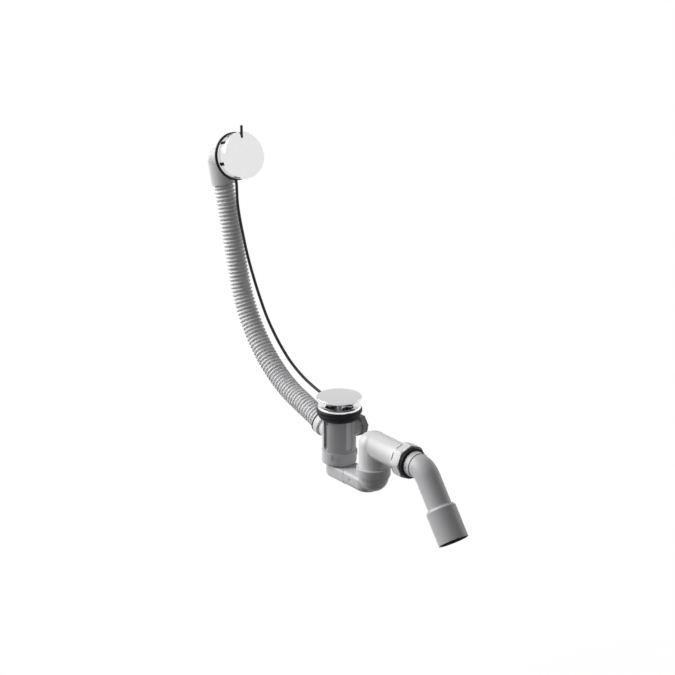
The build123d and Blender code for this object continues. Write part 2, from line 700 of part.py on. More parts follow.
def overflow_screws():
    shank = rod(HEAD_SCREW_RADIUS, RING_PLATE - HEAD_SCREW_LENGTH, RING_PLATE)
    screw = shank + rod(HEAD_SCREW_HEAD_RADIUS, RING_PLATE, RING_PLATE + HEAD_SCREW_HEAD)
    places = (Pos(-HEAD_SCREW_CIRCLE, 0, 0), Pos(HEAD_SCREW_CIRCLE, 0, 0))
    return Compound(children=[placed(HEAD, place * screw) for place in places])


def overflow_gasket():
    return placed(HEAD, turned(
        (RING_SPIGOT_RADIUS + FIT, -WALL_GASKET_THICKNESS),
        (WALL_GASKET_RADIUS, -WALL_GASKET_THICKNESS, WALL_GASKET_ROUNDING),
        (WALL_GASKET_RADIUS, 0, WALL_GASKET_ROUNDING),
        (RING_SPIGOT_RADIUS + FIT, 0),
    ))


def overflow_elbow():
    flange_back = -WALL_GASKET_THICKNESS - ELBOW_FLANGE
    leg = Plane(origin=(0, 0, -ELBOW_DEPTH), x_dir=(1, 0, 0), z_dir=(0, 1, 0))
    gland = Plane(origin=(GLAND_OFFSET, 0, -HEAD_CRANK_DEPTH), z_dir=(0, -1, 0))
    elbow = rod(ELBOW_RADIUS, -ELBOW_DEPTH, -WALL_GASKET_THICKNESS)
    elbow += placed(leg, turned(
        (0, -ELBOW_DROP),
        (ELBOW_RADIUS, -ELBOW_DROP),
        (ELBOW_RADIUS, ELBOW_TOP, ELBOW_TOP_ROUNDING),
        (0, ELBOW_TOP),
    ))
    elbow += rod(ELBOW_FLANGE_RADIUS, flange_back, -WALL_GASKET_THICKNESS)
    boss = rod(ELBOW_BOSS_RADIUS, flange_back - ELBOW_BOSS_LENGTH, flange_back)
    hole = rod(HEAD_SCREW_RADIUS + FIT, RING_PLATE - HEAD_SCREW_LENGTH - FIT, 0)
    for side in (-1, 1):
        elbow += Pos(side * HEAD_SCREW_CIRCLE, 0, 0) * boss
        elbow -= Pos(side * HEAD_SCREW_CIRCLE, 0, 0) * hole
    elbow += placed(gland, rod(GLAND_RADIUS, ELBOW_BORE / 2, GLAND_DROP))
    elbow -= rod(ELBOW_BORE, -ELBOW_DEPTH, -WALL_GASKET_THICKNESS)
    elbow -= placed(leg, rod(ELBOW_BORE, -ELBOW_DROP + HOSE_SOCKET + HOSE_STOP, 0))
    elbow -= placed(leg, rod(HOSE_STOP_BORE, -ELBOW_DROP, 0))
    elbow -= placed(leg, rod(ELBOW_BORE, -ELBOW_DROP, -ELBOW_DROP + HOSE_SOCKET))
    elbow -= placed(gland, rod(SHEATH_BORE, 0, GLAND_DROP))
    elbow -= placed(gland, rod(FERRULE_RADIUS + FIT, GLAND_DROP - FERRULE_LENGTH - FIT, GLAND_DROP))
    return placed(HEAD, elbow)


# Overflow hose


def hose_corner():
    """Point where the port's axis meets the line down from the overflow elbow."""
    top = HEAD.from_local_coords(Vector(0, 0, -ELBOW_DEPTH))
    down = -HEAD.y_dir
    out = PORT.z_dir
    offset = top - PORT.origin
    return PORT.origin + out * ((offset.X * down.Z - offset.Z * down.X) / (out.X * down.Z - out.Z * down.X))


def hose_path():
    """Centre line of the hose from its lower flange to the stop in the elbow."""
    start = PORT.from_local_coords(Vector(0, 0, HOSE_FLANGE_START))
    end = HEAD.from_local_coords(Vector(0, -ELBOW_DROP + HOSE_SOCKET - FIT, -ELBOW_DEPTH))
    return FilletPolyline(start, hose_corner(), end, radius=HOSE_BEND)


def overflow_hose():
    path = hose_path()
    length = path.length
    first = HOSE_FLANGE + HOSE_NECK
    last = length - HOSE_SOCKET
    ribs = round((last - first) / HOSE_PITCH)
    rings = []
    for index in range(2 * ribs + 1):
        place = (first + (last - first) * index / (2 * ribs)) / length
        radius = HOSE_CREST if index % 2 else HOSE_ROOT
        plane = Plane(origin=path @ place, x_dir=(0, 1, 0), z_dir=path % place)
        rings.append(Wire.make_circle(radius, plane))
    hose = Part() + Solid.make_loft(rings, ruled=True)
    low = Plane(origin=path @ 0, x_dir=(0, 1, 0), z_dir=path % 0)
    high = Plane(origin=path @ 1, x_dir=(0, 1, 0), z_dir=-(path % 1))
    hose += placed(low, rod(PORT_RADIUS - FIT, 0, HOSE_FLANGE) + rod(HOSE_ROOT, HOSE_FLANGE, first))
    cuff = rod(HOSE_CUFF, 0, HOSE_SOCKET)
    groove = (HOSE_SOCKET - HOSE_SEAL_WIDTH) / 2
    cuff -= tube(ELBOW_BORE, HOSE_CUFF - HOSE_SEAL_DEPTH, groove, groove + HOSE_SEAL_WIDTH)
    hose += placed(high, cuff)
    return hose - swept(Circle(HOSE_BORE), path)


def hose_top_seal():
    groove = HOSE_SOCKET / 2
    half = HOSE_SEAL_WIDTH / 2 - FIT / 2
    path = hose_path()
    high = Plane(origin=path @ 1, x_dir=(0, 1, 0), z_dir=-(path % 1))
    inner = HOSE_CUFF - HOSE_SEAL_DEPTH + FIT / 2
    return placed(high, tube(ELBOW_BORE - FIT / 2, inner, groove - half, groove + half))


def hose_washer():
    return placed(PORT, tube(PORT_RADIUS - FIT, PORT_BORE, PORT_REACH, HOSE_FLANGE_START))


def hose_collar():
    return placed(PORT, turned(
        (PORT_RADIUS + FIT, COLLAR_START),
        (COLLAR_RADIUS, COLLAR_START, COLLAR_ROUNDING),
        (COLLAR_RADIUS, COLLAR_END),
        (HOSE_ROOT + FIT, COLLAR_END),
        (HOSE_ROOT + FIT, COLLAR_END - COLLAR_LIP),
        (PORT_RADIUS + FIT, COLLAR_END - COLLAR_LIP),
    ))


def hose_clip():
    return placed(PORT, tube(HOSE_CLIP_RADIUS, HOSE_ROOT + FIT, COLLAR_END, COLLAR_END + HOSE_CLIP))


# Cable


def cable_path(upper, lower):
    """Cable route between two distances along the glands, with arcs as large as its runs allow."""
    upper_run = [upper, GLAND_DROP + GLAND_LEAD]
    lower_run = [LOWER_GLAND_REACH + GLAND_LEAD, lower]
    points = [UPPER_GLAND.from_local_coords(Vector(0, 0, place)) for place in upper_run]
    points += [Vector(point) for point in CABLE_POINTS]
    points += [LOWER_GLAND.from_local_coords(Vector(0, 0, place)) for place in lower_run]
    radii = []
    for before, point, after in zip(points, points[1:], points[2:]):
        run_in = point - before
        run_out = after - point
        turn = radians(run_in.get_angle(run_out))
        radii.append(CABLE_ARC_SHARE * min(run_in.length, run_out.length) / tan(turn / 2))
    return FilletPolyline(*points, radius=radii)


def cable_sheath():
    inset = FERRULE_LENGTH - FERRULE_CAP
    path = cable_path(GLAND_DROP - inset, LOWER_GLAND_REACH - inset)
    return swept(Circle(SHEATH_RADIUS) - Circle(SHEATH_BORE), path)


def cable_wire():
    path = cable_path(ELBOW_BORE, LOWER_GLAND_REACH - FERRULE_LENGTH - FERRULE_CAP)
    return swept(Circle(WIRE_RADIUS), path)


def cable_ferrules():
    ferrules = []
    for gland, reach in ((UPPER_GLAND, GLAND_DROP), (LOWER_GLAND, LOWER_GLAND_REACH)):
        ferrule = rod(FERRULE_RADIUS, reach - FERRULE_LENGTH, reach)
        ferrule += rod(FERRULE_LIP_RADIUS, reach, reach + FERRULE_LIP)
        ferrule -= rod(SHEATH_RADIUS + FIT, reach - FERRULE_LENGTH + FERRULE_CAP - FIT, reach + FERRULE_LIP)
        ferrule -= rod(SHEATH_BORE, reach - FERRULE_LENGTH, reach)
        ferrules.append(placed(gland, ferrule))
    return Compound(children=ferrules)


# Trap


def trough(radius, top, bottom, length, foot_rounding, top_rounding):
    """Low channel with a round blind end about Z, running to +X."""
    plan = Circle(radius) + Pos(length / 2, 0) * Rectangle(length, 2 * radius)
    block = extrude(Pos(0, 0, -bottom) * plan, bottom - top)
    foot = block.faces().sort_by(Axis.Z)[0].edges().sort_by(Axis.X)[:-1]
    block = fillet(foot, foot_rounding)
    crown = block.faces().sort_by(Axis.Z)[-1].edges().filter_by(Axis.X)
    return fillet(crown, top_rounding)


def trap_nut():
    top = -BODY_SHOULDER_DEPTH - SWIVEL_GAP
    foot = -TRAP_NUT_END_DEPTH
    lip_top = foot + TRAP_NUT_LIP
    nut = turned(
        (NECK_RADIUS + FIT, top),
        (TRAP_NUT_RADIUS, top),
        (TRAP_NUT_RADIUS, foot, TRAP_NUT_BEVEL),
        (INLET_RADIUS + SWIVEL_GAP, foot),
        (INLET_RADIUS + SWIVEL_GAP, lip_top),
        (NECK_RADIUS + FIT, lip_top),
    )
    lug_reach = TRAP_NUT_RADIUS + TRAP_NUT_LUG_PROUD
    lug_length = lug_reach - NECK_RADIUS - 2 * FIT
    lug = Pos(lug_reach - lug_length / 2, 0, top - TRAP_NUT_LUG_HEIGHT / 2) * Box(
        lug_length, TRAP_NUT_LUG_WIDTH, TRAP_NUT_LUG_HEIGHT
    )
    for index in range(TRAP_NUT_LUGS):
        nut += Rot(0, 0, TRAP_NUT_LUG_START + 360 / TRAP_NUT_LUGS * index) * lug
    return nut


def trap_washer():
    return tube(INLET_FLANGE_RADIUS, INLET_RADIUS - TRAP_WALL, -WASHER_END_DEPTH, -BODY_END_DEPTH)


def trap_inlet():
    foot_rounding = TROUGH_FOOT_ROUNDING
    top = TROUGH_TOP_DEPTH
    top_rounding = TROUGH_TOP_ROUNDING
    shell = trough(INLET_RADIUS, top, TROUGH_BOTTOM_DEPTH, TROUGH_SEAM, foot_rounding, top_rounding)
    end = TROUGH_SEAM + TROUGH_OVERLAP
    floor = TROUGH_BOTTOM_DEPTH - TRAP_WALL - FIT
    shell += trough(TONGUE_RADIUS, top, floor, end, foot_rounding, top_rounding)
    shell += rod(INLET_RADIUS, -top - top_rounding, -WASHER_END_DEPTH)
    shell += rod(INLET_FLANGE_RADIUS, -INLET_FLANGE_END, -WASHER_END_DEPTH)
    shell -= trough(
        TONGUE_RADIUS - TRAP_WALL,
        top + TRAP_WALL,
        floor - TRAP_WALL,
        end,
        foot_rounding - TRAP_WALL,
        top_rounding,
    )
    return shell - rod(INLET_RADIUS - TRAP_WALL, -TROUGH_BOTTOM_DEPTH + TROUGH_HEIGHT / 2, -WASHER_END_DEPTH)


def trap_cup():
    length = TROUGH_END - TROUGH_SEAM
    top = TROUGH_TOP_DEPTH - SLEEVE_RISE
    turn = Pos(TROUGH_END, 0, 0) * Rot(0, 0, 180)
    ball_place = Pos(TRAP_SPAN, 0, -BOWL_BALL_DEPTH)
    cup = turn * trough(
        SLEEVE_RADIUS, top, TROUGH_BOTTOM_DEPTH, length, SLEEVE_FOOT_ROUNDING, TROUGH_TOP_ROUNDING + TRAP_WALL
    )
    cup += ball_place * Sphere(BOWL_BALL_RADIUS, -90, 0, align=(Align.CENTER, Align.CENTER, Align.MAX))
    cup += placed(RISER, turned(
        (0, -CUP_STEP_DEPTH),
        (SOCKET_RADIUS, -CUP_STEP_DEPTH, SOCKET_ROUNDING),
        (SOCKET_RADIUS, -CUP_RIM_DEPTH, SOCKET_ROUNDING),
        (0, -CUP_RIM_DEPTH),
    ))
    cup -= turn * trough(
        SLEEVE_RADIUS - TRAP_WALL,
        top + TRAP_WALL,
        TROUGH_BOTTOM_DEPTH - TRAP_WALL,
        length,
        TROUGH_FOOT_ROUNDING,
        TROUGH_TOP_ROUNDING,
    )
    cup -= ball_place * Sphere(BOWL_BALL_RADIUS - TRAP_WALL)
    bore = RISER_SPIGOT_RADIUS + SWIVEL_GAP
    cup -= placed(RISER, rod(bore, -RISER_SPIGOT_END - SWIVEL_GAP, -CUP_RIM_DEPTH))
    groove = bore + CUP_SEAL_THICKNESS + FIT
    cup -= placed(RISER, rod(groove, -CUP_SEAL_DEPTH - CUP_SEAL_WIDTH - FIT, -CUP_SEAL_DEPTH))
    latch_x = TROUGH_SEAM + TROUGH_OVERLAP + LATCH_WIDTH
    latch = Box(LATCH_WIDTH, 4 * SLEEVE_RADIUS, LATCH_HEIGHT)
    return cup - Pos(latch_x, 0, -TROUGH_TOP_DEPTH - 2 * LATCH_HEIGHT) * latch


def cup_seal():
    inner = RISER_SPIGOT_RADIUS + SWIVEL_GAP
    return placed(RISER, tube(
        inner + CUP_SEAL_THICKNESS, inner, -CUP_SEAL_DEPTH - CUP_SEAL_WIDTH, -CUP_SEAL_DEPTH
    ))


# Riser and outlet


def riser_elbow():
    base = -CUP_RIM_DEPTH + SWIVEL_GAP
    elbow = placed(RISER, turned(
        (0, base),
        (RISER_LEG_RADIUS, base),
        (RISER_LEG_RADIUS, -RISER_TOP_DEPTH, RISER_LEG_ROUNDING),
        (0, -RISER_TOP_DEPTH),
    ))
    elbow += placed(RISER, rod(RISER_SPIGOT_RADIUS, -RISER_SPIGOT_END, base))
    elbow += placed(OUTLET, rod(RISER_RADIUS, TRAP_SPAN, RISER_END))
    elbow += placed(OUTLET, rod(RISER_THREAD_RADIUS, RISER_END - RISER_THREAD_LENGTH, RISER_END))
    elbow -= placed(RISER, rod(RISER_BORE, -RISER_SPIGOT_END, -OUTLET_DEPTH))
    elbow -= Pos(TRAP_SPAN, 0, -OUTLET_DEPTH) * Sphere(RISER_BORE)
    elbow -= placed(OUTLET, rod(RISER_BORE, TRAP_SPAN, RISER_END))
    return elbow - placed(OUTLET, rod(OUTLET_RADIUS + SWIVEL_GAP, OUTLET_START - SWIVEL_GAP, RISER_END))


def union_nut():
    octagon = RegularPolygon(UNION_FLATS / 2, UNION_SIDES, major_radius=False, rotation=180 / UNION_SIDES)
    nut = Pos(0, 0, UNION_START) * extrude(octagon, UNION_END - UNION_START)
    nut &= turned(
        (0, UNION_START),
        (UNION_CORNER_RADIUS, UNION_START, UNION_BEVEL),
        (UNION_CORNER_RADIUS, UNION_END, UNION_BEVEL),
        (0, UNION_END),
    )
    nut -= rod(RISER_THREAD_RADIUS + FIT, UNION_START, UNION_END - UNION_LIP)
    nut -= rod(OUTLET_RADIUS + SWIVEL_GAP + UNION_SEAL_SLEEVE + FIT, UNION_START, UNION_END)
    notch = Pos(UNION_FLATS / 2, 0, UNION_START + UNION_NOTCH_INSET + UNION_NOTCH_LENGTH / 2) * Box(
        2 * UNION_NOTCH_DEPTH, UNION_NOTCH_WIDTH, UNION_NOTCH_LENGTH
    )
    for index in range(UNION_SIDES):
        nut -= Rot(0, 0, 360 / UNION_SIDES * index) * notch
    return placed(OUTLET, Rot(0, 0, 180 / UNION_SIDES) * nut)


def union_seal():
    inner = OUTLET_RADIUS + SWIVEL_GAP
    front = UNION_END + UNION_SEAL_FLANGE
    return placed(OUTLET, turned(
        (inner, RISER_END + FIT),
        (inner + UNION_SEAL_SLEEVE, RISER_END + FIT),
        (inner + UNION_SEAL_SLEEVE, UNION_END),
        (UNION_SEAL_RADIUS, UNION_END),
        (UNION_SEAL_RADIUS, front, UNION_SEAL_ROUNDING),
        (inner, front),
    ))


def outlet_bend():
    start = (OUTLET_START, 0, -OUTLET_DEPTH)
    end = DRAIN.from_local_coords(Vector(0, 0, OUTLET_LENGTH))
    path = FilletPolyline(start, DRAIN.origin, end, radius=OUTLET_BEND)
    bend = swept(Circle(OUTLET_RADIUS), path)
    bend += placed(OUTLET, rod(OUTLET_BAND_RADIUS, OUTLET_BAND_START, OUTLET_BAND_START + OUTLET_BAND_LENGTH))
    mark = Plane(origin=(OUTLET_MARK_PLACE, 0, -OUTLET_DEPTH), z_dir=(0, -1, 0))
    bend -= placed(mark, rod(OUTLET_MARK_RADIUS, OUTLET_BAND_RADIUS - OUTLET_MARK_RECESS, OUTLET_BAND_RADIUS))
    return bend - swept(Circle(OUTLET_BORE), path)


def drain_adapter():
    end = ADAPTER_START + ADAPTER_LENGTH
    bore = OUTLET_RADIUS + FIT
    stop = OUTLET_LENGTH + FIT
    groove = ADAPTER_START + ADAPTER_SEAL_INSET
    adapter = turned(
        (bore, ADAPTER_START),
        (ADAPTER_RIM_RADIUS, ADAPTER_START),
        (ADAPTER_RADIUS, ADAPTER_START + ADAPTER_SHOULDER),
        (ADAPTER_RADIUS, end),
        (ADAPTER_MOUTH_BORE, end),
        (ADAPTER_MOUTH_BORE, stop + ADAPTER_STOP),
        (OUTLET_BORE, stop + ADAPTER_STOP),
        (OUTLET_BORE, stop),
        (bore, stop),
    )
    groove_radius = bore + ADAPTER_SEAL_THICKNESS
    adapter -= rod(groove_radius + FIT, groove, groove + ADAPTER_SEAL_WIDTH)
    return placed(DRAIN, adapter)


def adapter_seal():
    bore = OUTLET_RADIUS + FIT
    start = ADAPTER_START + ADAPTER_SEAL_INSET + FIT / 2
    return placed(DRAIN, tube(bore + ADAPTER_SEAL_THICKNESS, bore, start, start + ADAPTER_SEAL_WIDTH - FIT))


PIECES = (
    overflow_cover, cover_pin, drive_spindle, spindle_clip, head_crank, cover_grub_screw,
    overflow_ring, overflow_screws, overflow_gasket, overflow_elbow,
    overflow_hose, hose_top_seal, hose_washer, hose_collar, hose_clip,
    cable_sheath, cable_wire, cable_ferrules,
    plug_cap, plug_seal, plug_retainer, plug_stem, height_screw, height_nut,
    waste_flange, bath_gasket, body_gasket, waste_body,
    lever_shaft, lever_finger, lever_crank, lever_seal, lever_cap,
    trap_nut, trap_washer, trap_inlet, trap_cup, cup_seal,
    riser_elbow, union_nut, union_seal,
    outlet_bend, drain_adapter, adapter_seal,
)

os.makedirs("parts", exist_ok=True)
for piece in PIECES:
    export_step(piece(), f"parts/{piece.__name__}.step")
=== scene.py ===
"""Looks of the bath waste and overflow.

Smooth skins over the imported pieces, a ribbed hose along its route, the finish of every surface, and a
plain white studio seen from the photograph's side. Metres, +Z up.
"""

import json
import logging
import math
from dataclasses import dataclass, field
from enum import Enum
from typing import Any, Callable, ClassVar, Optional, Union

import bmesh
import bpy
from mathutils import Matrix, Vector


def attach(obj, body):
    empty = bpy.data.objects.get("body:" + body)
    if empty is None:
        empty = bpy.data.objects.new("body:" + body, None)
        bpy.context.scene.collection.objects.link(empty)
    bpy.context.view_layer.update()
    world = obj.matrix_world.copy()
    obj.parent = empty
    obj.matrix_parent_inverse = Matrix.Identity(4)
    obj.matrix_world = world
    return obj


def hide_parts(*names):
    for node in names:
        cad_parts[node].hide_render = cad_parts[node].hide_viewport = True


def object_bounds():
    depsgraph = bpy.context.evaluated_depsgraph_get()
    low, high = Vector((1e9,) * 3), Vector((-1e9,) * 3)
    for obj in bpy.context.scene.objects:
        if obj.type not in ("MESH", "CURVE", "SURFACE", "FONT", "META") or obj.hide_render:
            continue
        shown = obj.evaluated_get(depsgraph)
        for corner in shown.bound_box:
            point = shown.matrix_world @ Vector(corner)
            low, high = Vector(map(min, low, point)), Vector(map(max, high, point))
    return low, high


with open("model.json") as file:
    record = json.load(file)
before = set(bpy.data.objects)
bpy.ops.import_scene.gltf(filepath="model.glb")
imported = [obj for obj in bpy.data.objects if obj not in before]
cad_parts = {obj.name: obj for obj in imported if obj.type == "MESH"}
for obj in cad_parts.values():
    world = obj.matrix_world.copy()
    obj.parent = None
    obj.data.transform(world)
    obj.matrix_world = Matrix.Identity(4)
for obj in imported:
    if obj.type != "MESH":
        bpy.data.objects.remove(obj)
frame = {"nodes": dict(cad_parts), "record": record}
CAD_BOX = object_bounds()
LOG = logging.getLogger("bath_waste")
MM = 0.001
RIB_ATTRIBUTE = "rib"
NOISE_MIDDLE = 0.5

# Axis of the side port that the hose is fixed to: its height on the waste's axis and its rise
PORT_HEIGHT = -54 * MM
PORT_RISE_DEG = 16.0

Colour = tuple[float, float, float]
Place = tuple[float, float, float]


class Slot(Enum):
    """Material slots of the record."""

    CHROME = "chrome"
    RUBBER = "black_rubber"
    BLACK = "black_plastic"
    DARK = "dark_grey_plastic"
    LIGHT = "light_grey_plastic"
    HOSE = "hose_plastic"
    MID = "mid_grey_plastic"
    INNER = "inner_plastic"
    STEEL = "steel"


class Body(Enum):
    """Rigid bodies of the record that new pieces ride on."""

    WASTE = "waste"
    COVER = "cover"
    PLUG = "plug"
    LEVER = "lever"
    TRAP = "trap"
    RISER = "riser"
    OUTLET = "outlet"


class Facing(Enum):
    """Ways that a tool faces from its axis, in degrees from +X."""

    RIGHT = 0.0
    NEAR = -90.0
    FAR = 90.0


class Wire:
    """A node socket that adds Math nodes when it is used in an expression."""

    def __init__(self, graph: "Graph", socket: bpy.types.NodeSocket) -> None:
        """Keeps the socket and the graph that it belongs to."""
        self.graph = graph
        self.socket = socket

    def __add__(self, other: "Number") -> "Wire":
        """Sum of two values."""
        return self.graph.math("ADD", self, other)

    def __radd__(self, other: "Number") -> "Wire":
        """Sum with a plain number first."""
        return self.graph.math("ADD", other, self)

    def __sub__(self, other: "Number") -> "Wire":
        """Difference of two values."""
        return self.graph.math("SUBTRACT", self, other)

    def __rsub__(self, other: "Number") -> "Wire":
        """Difference with a plain number first."""
        return self.graph.math("SUBTRACT", other, self)

    def __mul__(self, other: "Number") -> "Wire":
        """Product of two values."""
        return self.graph.math("MULTIPLY", self, other)

    def __rmul__(self, other: "Number") -> "Wire":
        """Product with a plain number first."""
        return self.graph.math("MULTIPLY", other, self)

    def __truediv__(self, other: "Number") -> "Wire":
        """Quotient of two values."""
        return self.graph.math("DIVIDE", self, other)

    def __rtruediv__(self, other: "Number") -> "Wire":
        """Quotient with a plain number first."""
        return self.graph.math("DIVIDE", other, self)

    def __lt__(self, other: "Number") -> "Wire":
        """One where this value is below the other, else zero."""
        return self.graph.math("LESS_THAN", self, other)

    def __gt__(self, other: "Number") -> "Wire":
        """One where this value is above the other, else zero."""
        return self.graph.math("GREATER_THAN", self, other)

    def cosine(self) -> "Wire":
        """Cosine of this value in radians."""
        return self.graph.math("COSINE", self)

    def clamped(self) -> "Wire":
        """This value held between zero and one."""
        return self.graph.math("MINIMUM", self.graph.math("MAXIMUM", self, 0.0), 1.0)


Number = Union[Wire, float]
Tint = Union[Wire, Colour]


class Graph:
    """Adds and links nodes in one shader or geometry tree."""

    def __init__(self, tree: bpy.types.NodeTree) -> None:
        """Keeps the tree."""
        self.tree = tree

    def node(
        self,
        kind: str,
        settings: Optional[dict[str, Any]] = None,
        inputs: Optional[dict[Union[str, int], Any]] = None,
    ) -> bpy.types.Node:
        """Adds a node, with its settings first and its sockets after them.

        Args:
            kind: The node's type name.
            settings: Properties of the node.
            inputs: Plain values or wires, by socket name or number.

        Returns:
            The new node.
        """
        node = self.tree.nodes.new(kind)
        for name, value in (settings or {}).items():
            setattr(node, name, value)
        for key, value in (inputs or {}).items():
            socket = self.socket(node, key)
            if isinstance(value, Wire):
                self.tree.links.new(value.socket, socket)
            else:
                socket.default_value = value
        return node

    def wire(
        self,
        kind: str,
        output: Union[str, int] = 0,
        settings: Optional[dict[str, Any]] = None,
        inputs: Optional[dict[Union[str, int], Any]] = None,
    ) -> Wire:
        """Adds a node and gives one of its outputs.

        Args:
            kind: The node's type name.
            output: Name or number of the output.
            settings: Properties of the node.
            inputs: Plain values or wires, by socket name or number.

        Returns:
            The output as a wire.
        """
        return Wire(self, self.node(kind, settings, inputs).outputs[output])

    def math(self, operation: str, *operands: Number) -> Wire:
        """Adds a Math node for wires and plain numbers and gives its result."""
        inputs = dict(enumerate(operands))
        return self.wire("ShaderNodeMath", 0, {"operation": operation}, inputs)

    @staticmethod
    def socket(node: bpy.types.Node, key: Union[str, int]) -> bpy.types.NodeSocket:
        """Finds a node's input.

        Args:
            node: The node.
            key: The input's number, or its name among those in use.

        Returns:
            The socket.
        """
        if isinstance(key, int):
            return node.inputs[key]
        return next(socket for socket in node.inputs if socket.name == key and socket.enabled)


class Paint(Graph):
    """Builds one material."""

    def __init__(self, name: str) -> None:
        """Starts an empty material.

        Args:
            name: The material's name.
        """
        self.material = bpy.data.materials.new(name)
        self.material.use_nodes = True
        super().__init__(self.material.node_tree)
        self.tree.nodes.clear()
        self.place = self.wire("ShaderNodeTexCoord", "Object")

    def noise(self, size: float, detail: float = 2.0) -> Wire:
        """Soft noise on Object coordinates with blotches of about that size."""
        inputs = {"Vector": self.place, "Scale": 1 / size, "Detail": detail}
        return self.wire("ShaderNodeTexNoise", "Fac", None, inputs)

    def blend(self, first: Tint, second: Tint, factor: Wire) -> Wire:
        """Mixes two colours.

        Args:
            first: Colour, or wire of a colour, at factor 0.
            second: Colour, or wire of a colour, at factor 1.
            factor: Share of the second colour.

        Returns:
            The mixed colour.
        """
        inputs = {"Factor": factor, "A": opaque(first), "B": opaque(second)}
        node = self.node("ShaderNodeMix", {"data_type": "RGBA"}, inputs)
        return Wire(self, next(socket for socket in node.outputs if socket.enabled))

    def bump(self, height: Wire, depth: float) -> Wire:
        """Turns a height from zero to one into a bumped normal of that depth."""
        return self.wire("ShaderNodeBump", 0, None, {"Height": height, "Distance": depth, "Strength": 1.0})

    def finish(self, inputs: dict[str, Any]) -> bpy.types.Material:
        """Adds the Principled shader with these inputs and closes the material."""
        shader = self.wire("ShaderNodeBsdfPrincipled", 0, None, inputs)
        return self.surface(shader)

    def surface(self, shader: Wire) -> bpy.types.Material:
        """Connects a shader to the output and gives the material."""
        self.node("ShaderNodeOutputMaterial", None, {"Surface": shader})
        return self.material


def opaque(colour: Tint) -> Union[Wire, tuple[float, ...]]:
    """Adds a full alpha to a plain colour and leaves a wire as it is."""
    return colour if isinstance(colour, Wire) else (*colour, 1.0)


def shaded(colour: Colour, share: float) -> Colour:
    """Scales a colour by a share."""
    return tuple(min(channel * share, 1.0) for channel in colour)


@dataclass(frozen=True)
class Finish:
    """What every finish states: its name, the record's slot, its colour, its roughness and its shine."""

    name: str
    slot: Slot
    colour: Colour
    roughness: float
    specular: float = 0.3

    def material(self) -> bpy.types.Material:
        """Gives the finish's material, made once."""
        return bpy.data.materials.get(self.name) or self.paint()

    def paint(self) -> bpy.types.Material:
        """Builds the material's nodes."""
        raise NotImplementedError


@dataclass(frozen=True)
class MouldedPlastic(Finish):
    """Satin plastic from a mould: faint clouds in its tone and gloss, and a fine grain."""

    cloud_size: float = 22 * MM
    cloud_detail: float = 3.0
    cloud_tone: float = 0.035
    cloud_gloss: float = 0.12
    grain_size: float = 0.5 * MM
    grain_depth: float = 0.012 * MM

    def tone(self, paint: Paint) -> Wire:
        """Makes the base colour with its clouds.

        Args:
            paint: The material that is being built.

        Returns:
            The colour.
        """
        cloud = paint.noise(self.cloud_size, self.cloud_detail)
        dark, pale = (shaded(self.colour, 1 + side * self.cloud_tone) for side in (-1, 1))
        return paint.blend(dark, pale, cloud)

    def paint(self) -> bpy.types.Material:
        """Builds the material's nodes.

        Returns:
            The new material.
        """
        paint = Paint(self.name)
        gloss = paint.noise(self.cloud_size, self.cloud_detail) - NOISE_MIDDLE
        return paint.finish({
            "Base Color": self.tone(paint),
            "Specular IOR Level": self.specular,
            "Roughness": self.roughness + gloss * self.cloud_gloss,
            "Normal": paint.bump(paint.noise(self.grain_size), self.grain_depth),
        })


@dataclass(frozen=True)
class RibbedPlastic(MouldedPlastic):
    """Blown plastic of the hose, with painted shade that makes its grooves a little darker."""

    # Share of the colour left down in the grooves: painted shade where the grooves lie deep.
    groove_shade_share: float = 0.92

    def tone(self, paint: Paint) -> Wire:
        """Base colour with painted shade, darker from the crests down to the grooves."""
        rib = paint.wire("ShaderNodeAttribute", "Fac", {"attribute_name": RIB_ATTRIBUTE})
        return paint.blend(shaded(self.colour, self.groove_shade_share), super().tone(paint), rib)


@dataclass(frozen=True)
class Rubber(Finish):
    """Black rubber with a faint bloom."""

    bloom: float = 0.006
    bloom_size: float = 9 * MM
    bloom_detail: float = 4.0
    bloom_gloss: float = 0.2
    grain_size: float = 0.7 * MM
    grain_depth: float = 0.02 * MM

    def paint(self) -> bpy.types.Material:
        """Builds the material's nodes.

        Returns:
            The new material.
        """
        paint = Paint(self.name)
        bloom = paint.noise(self.bloom_size, self.bloom_detail)
        pale = tuple(channel + self.bloom for channel in self.colour)
        return paint.finish({
            "Base Color": paint.blend(self.colour, pale, bloom),
            "Specular IOR Level": self.specular,
            "Roughness": self.roughness + (bloom - NOISE_MIDDLE) * self.bloom_gloss,
            "Normal": paint.bump(paint.noise(self.grain_size), self.grain_depth),
        })


@dataclass(frozen=True)
class PlatedMetal(Finish):
    """Bright metal with slight smears in its gloss."""

    smear: float = 0.06
    smear_size: float = 14 * MM
    smear_detail: float = 4.0
    smear_shades: tuple[float, float] = (0.97, 1.02)
    ripple_size: float = 30 * MM
    ripple_depth: float = 0.01 * MM

    def paint(self) -> bpy.types.Material:
        """Builds the material's nodes.

        Returns:
            The new material.
        """
        paint = Paint(self.name)
        smear = paint.noise(self.smear_size, self.smear_detail)
        dull, bright = (shaded(self.colour, share) for share in self.smear_shades)
        return paint.finish({
            "Base Color": paint.blend(dull, bright, smear),
            "Metallic": 1.0,
            "Roughness": self.roughness + smear * self.smear,
            "Normal": paint.bump(paint.noise(self.ripple_size), self.ripple_depth),
        })


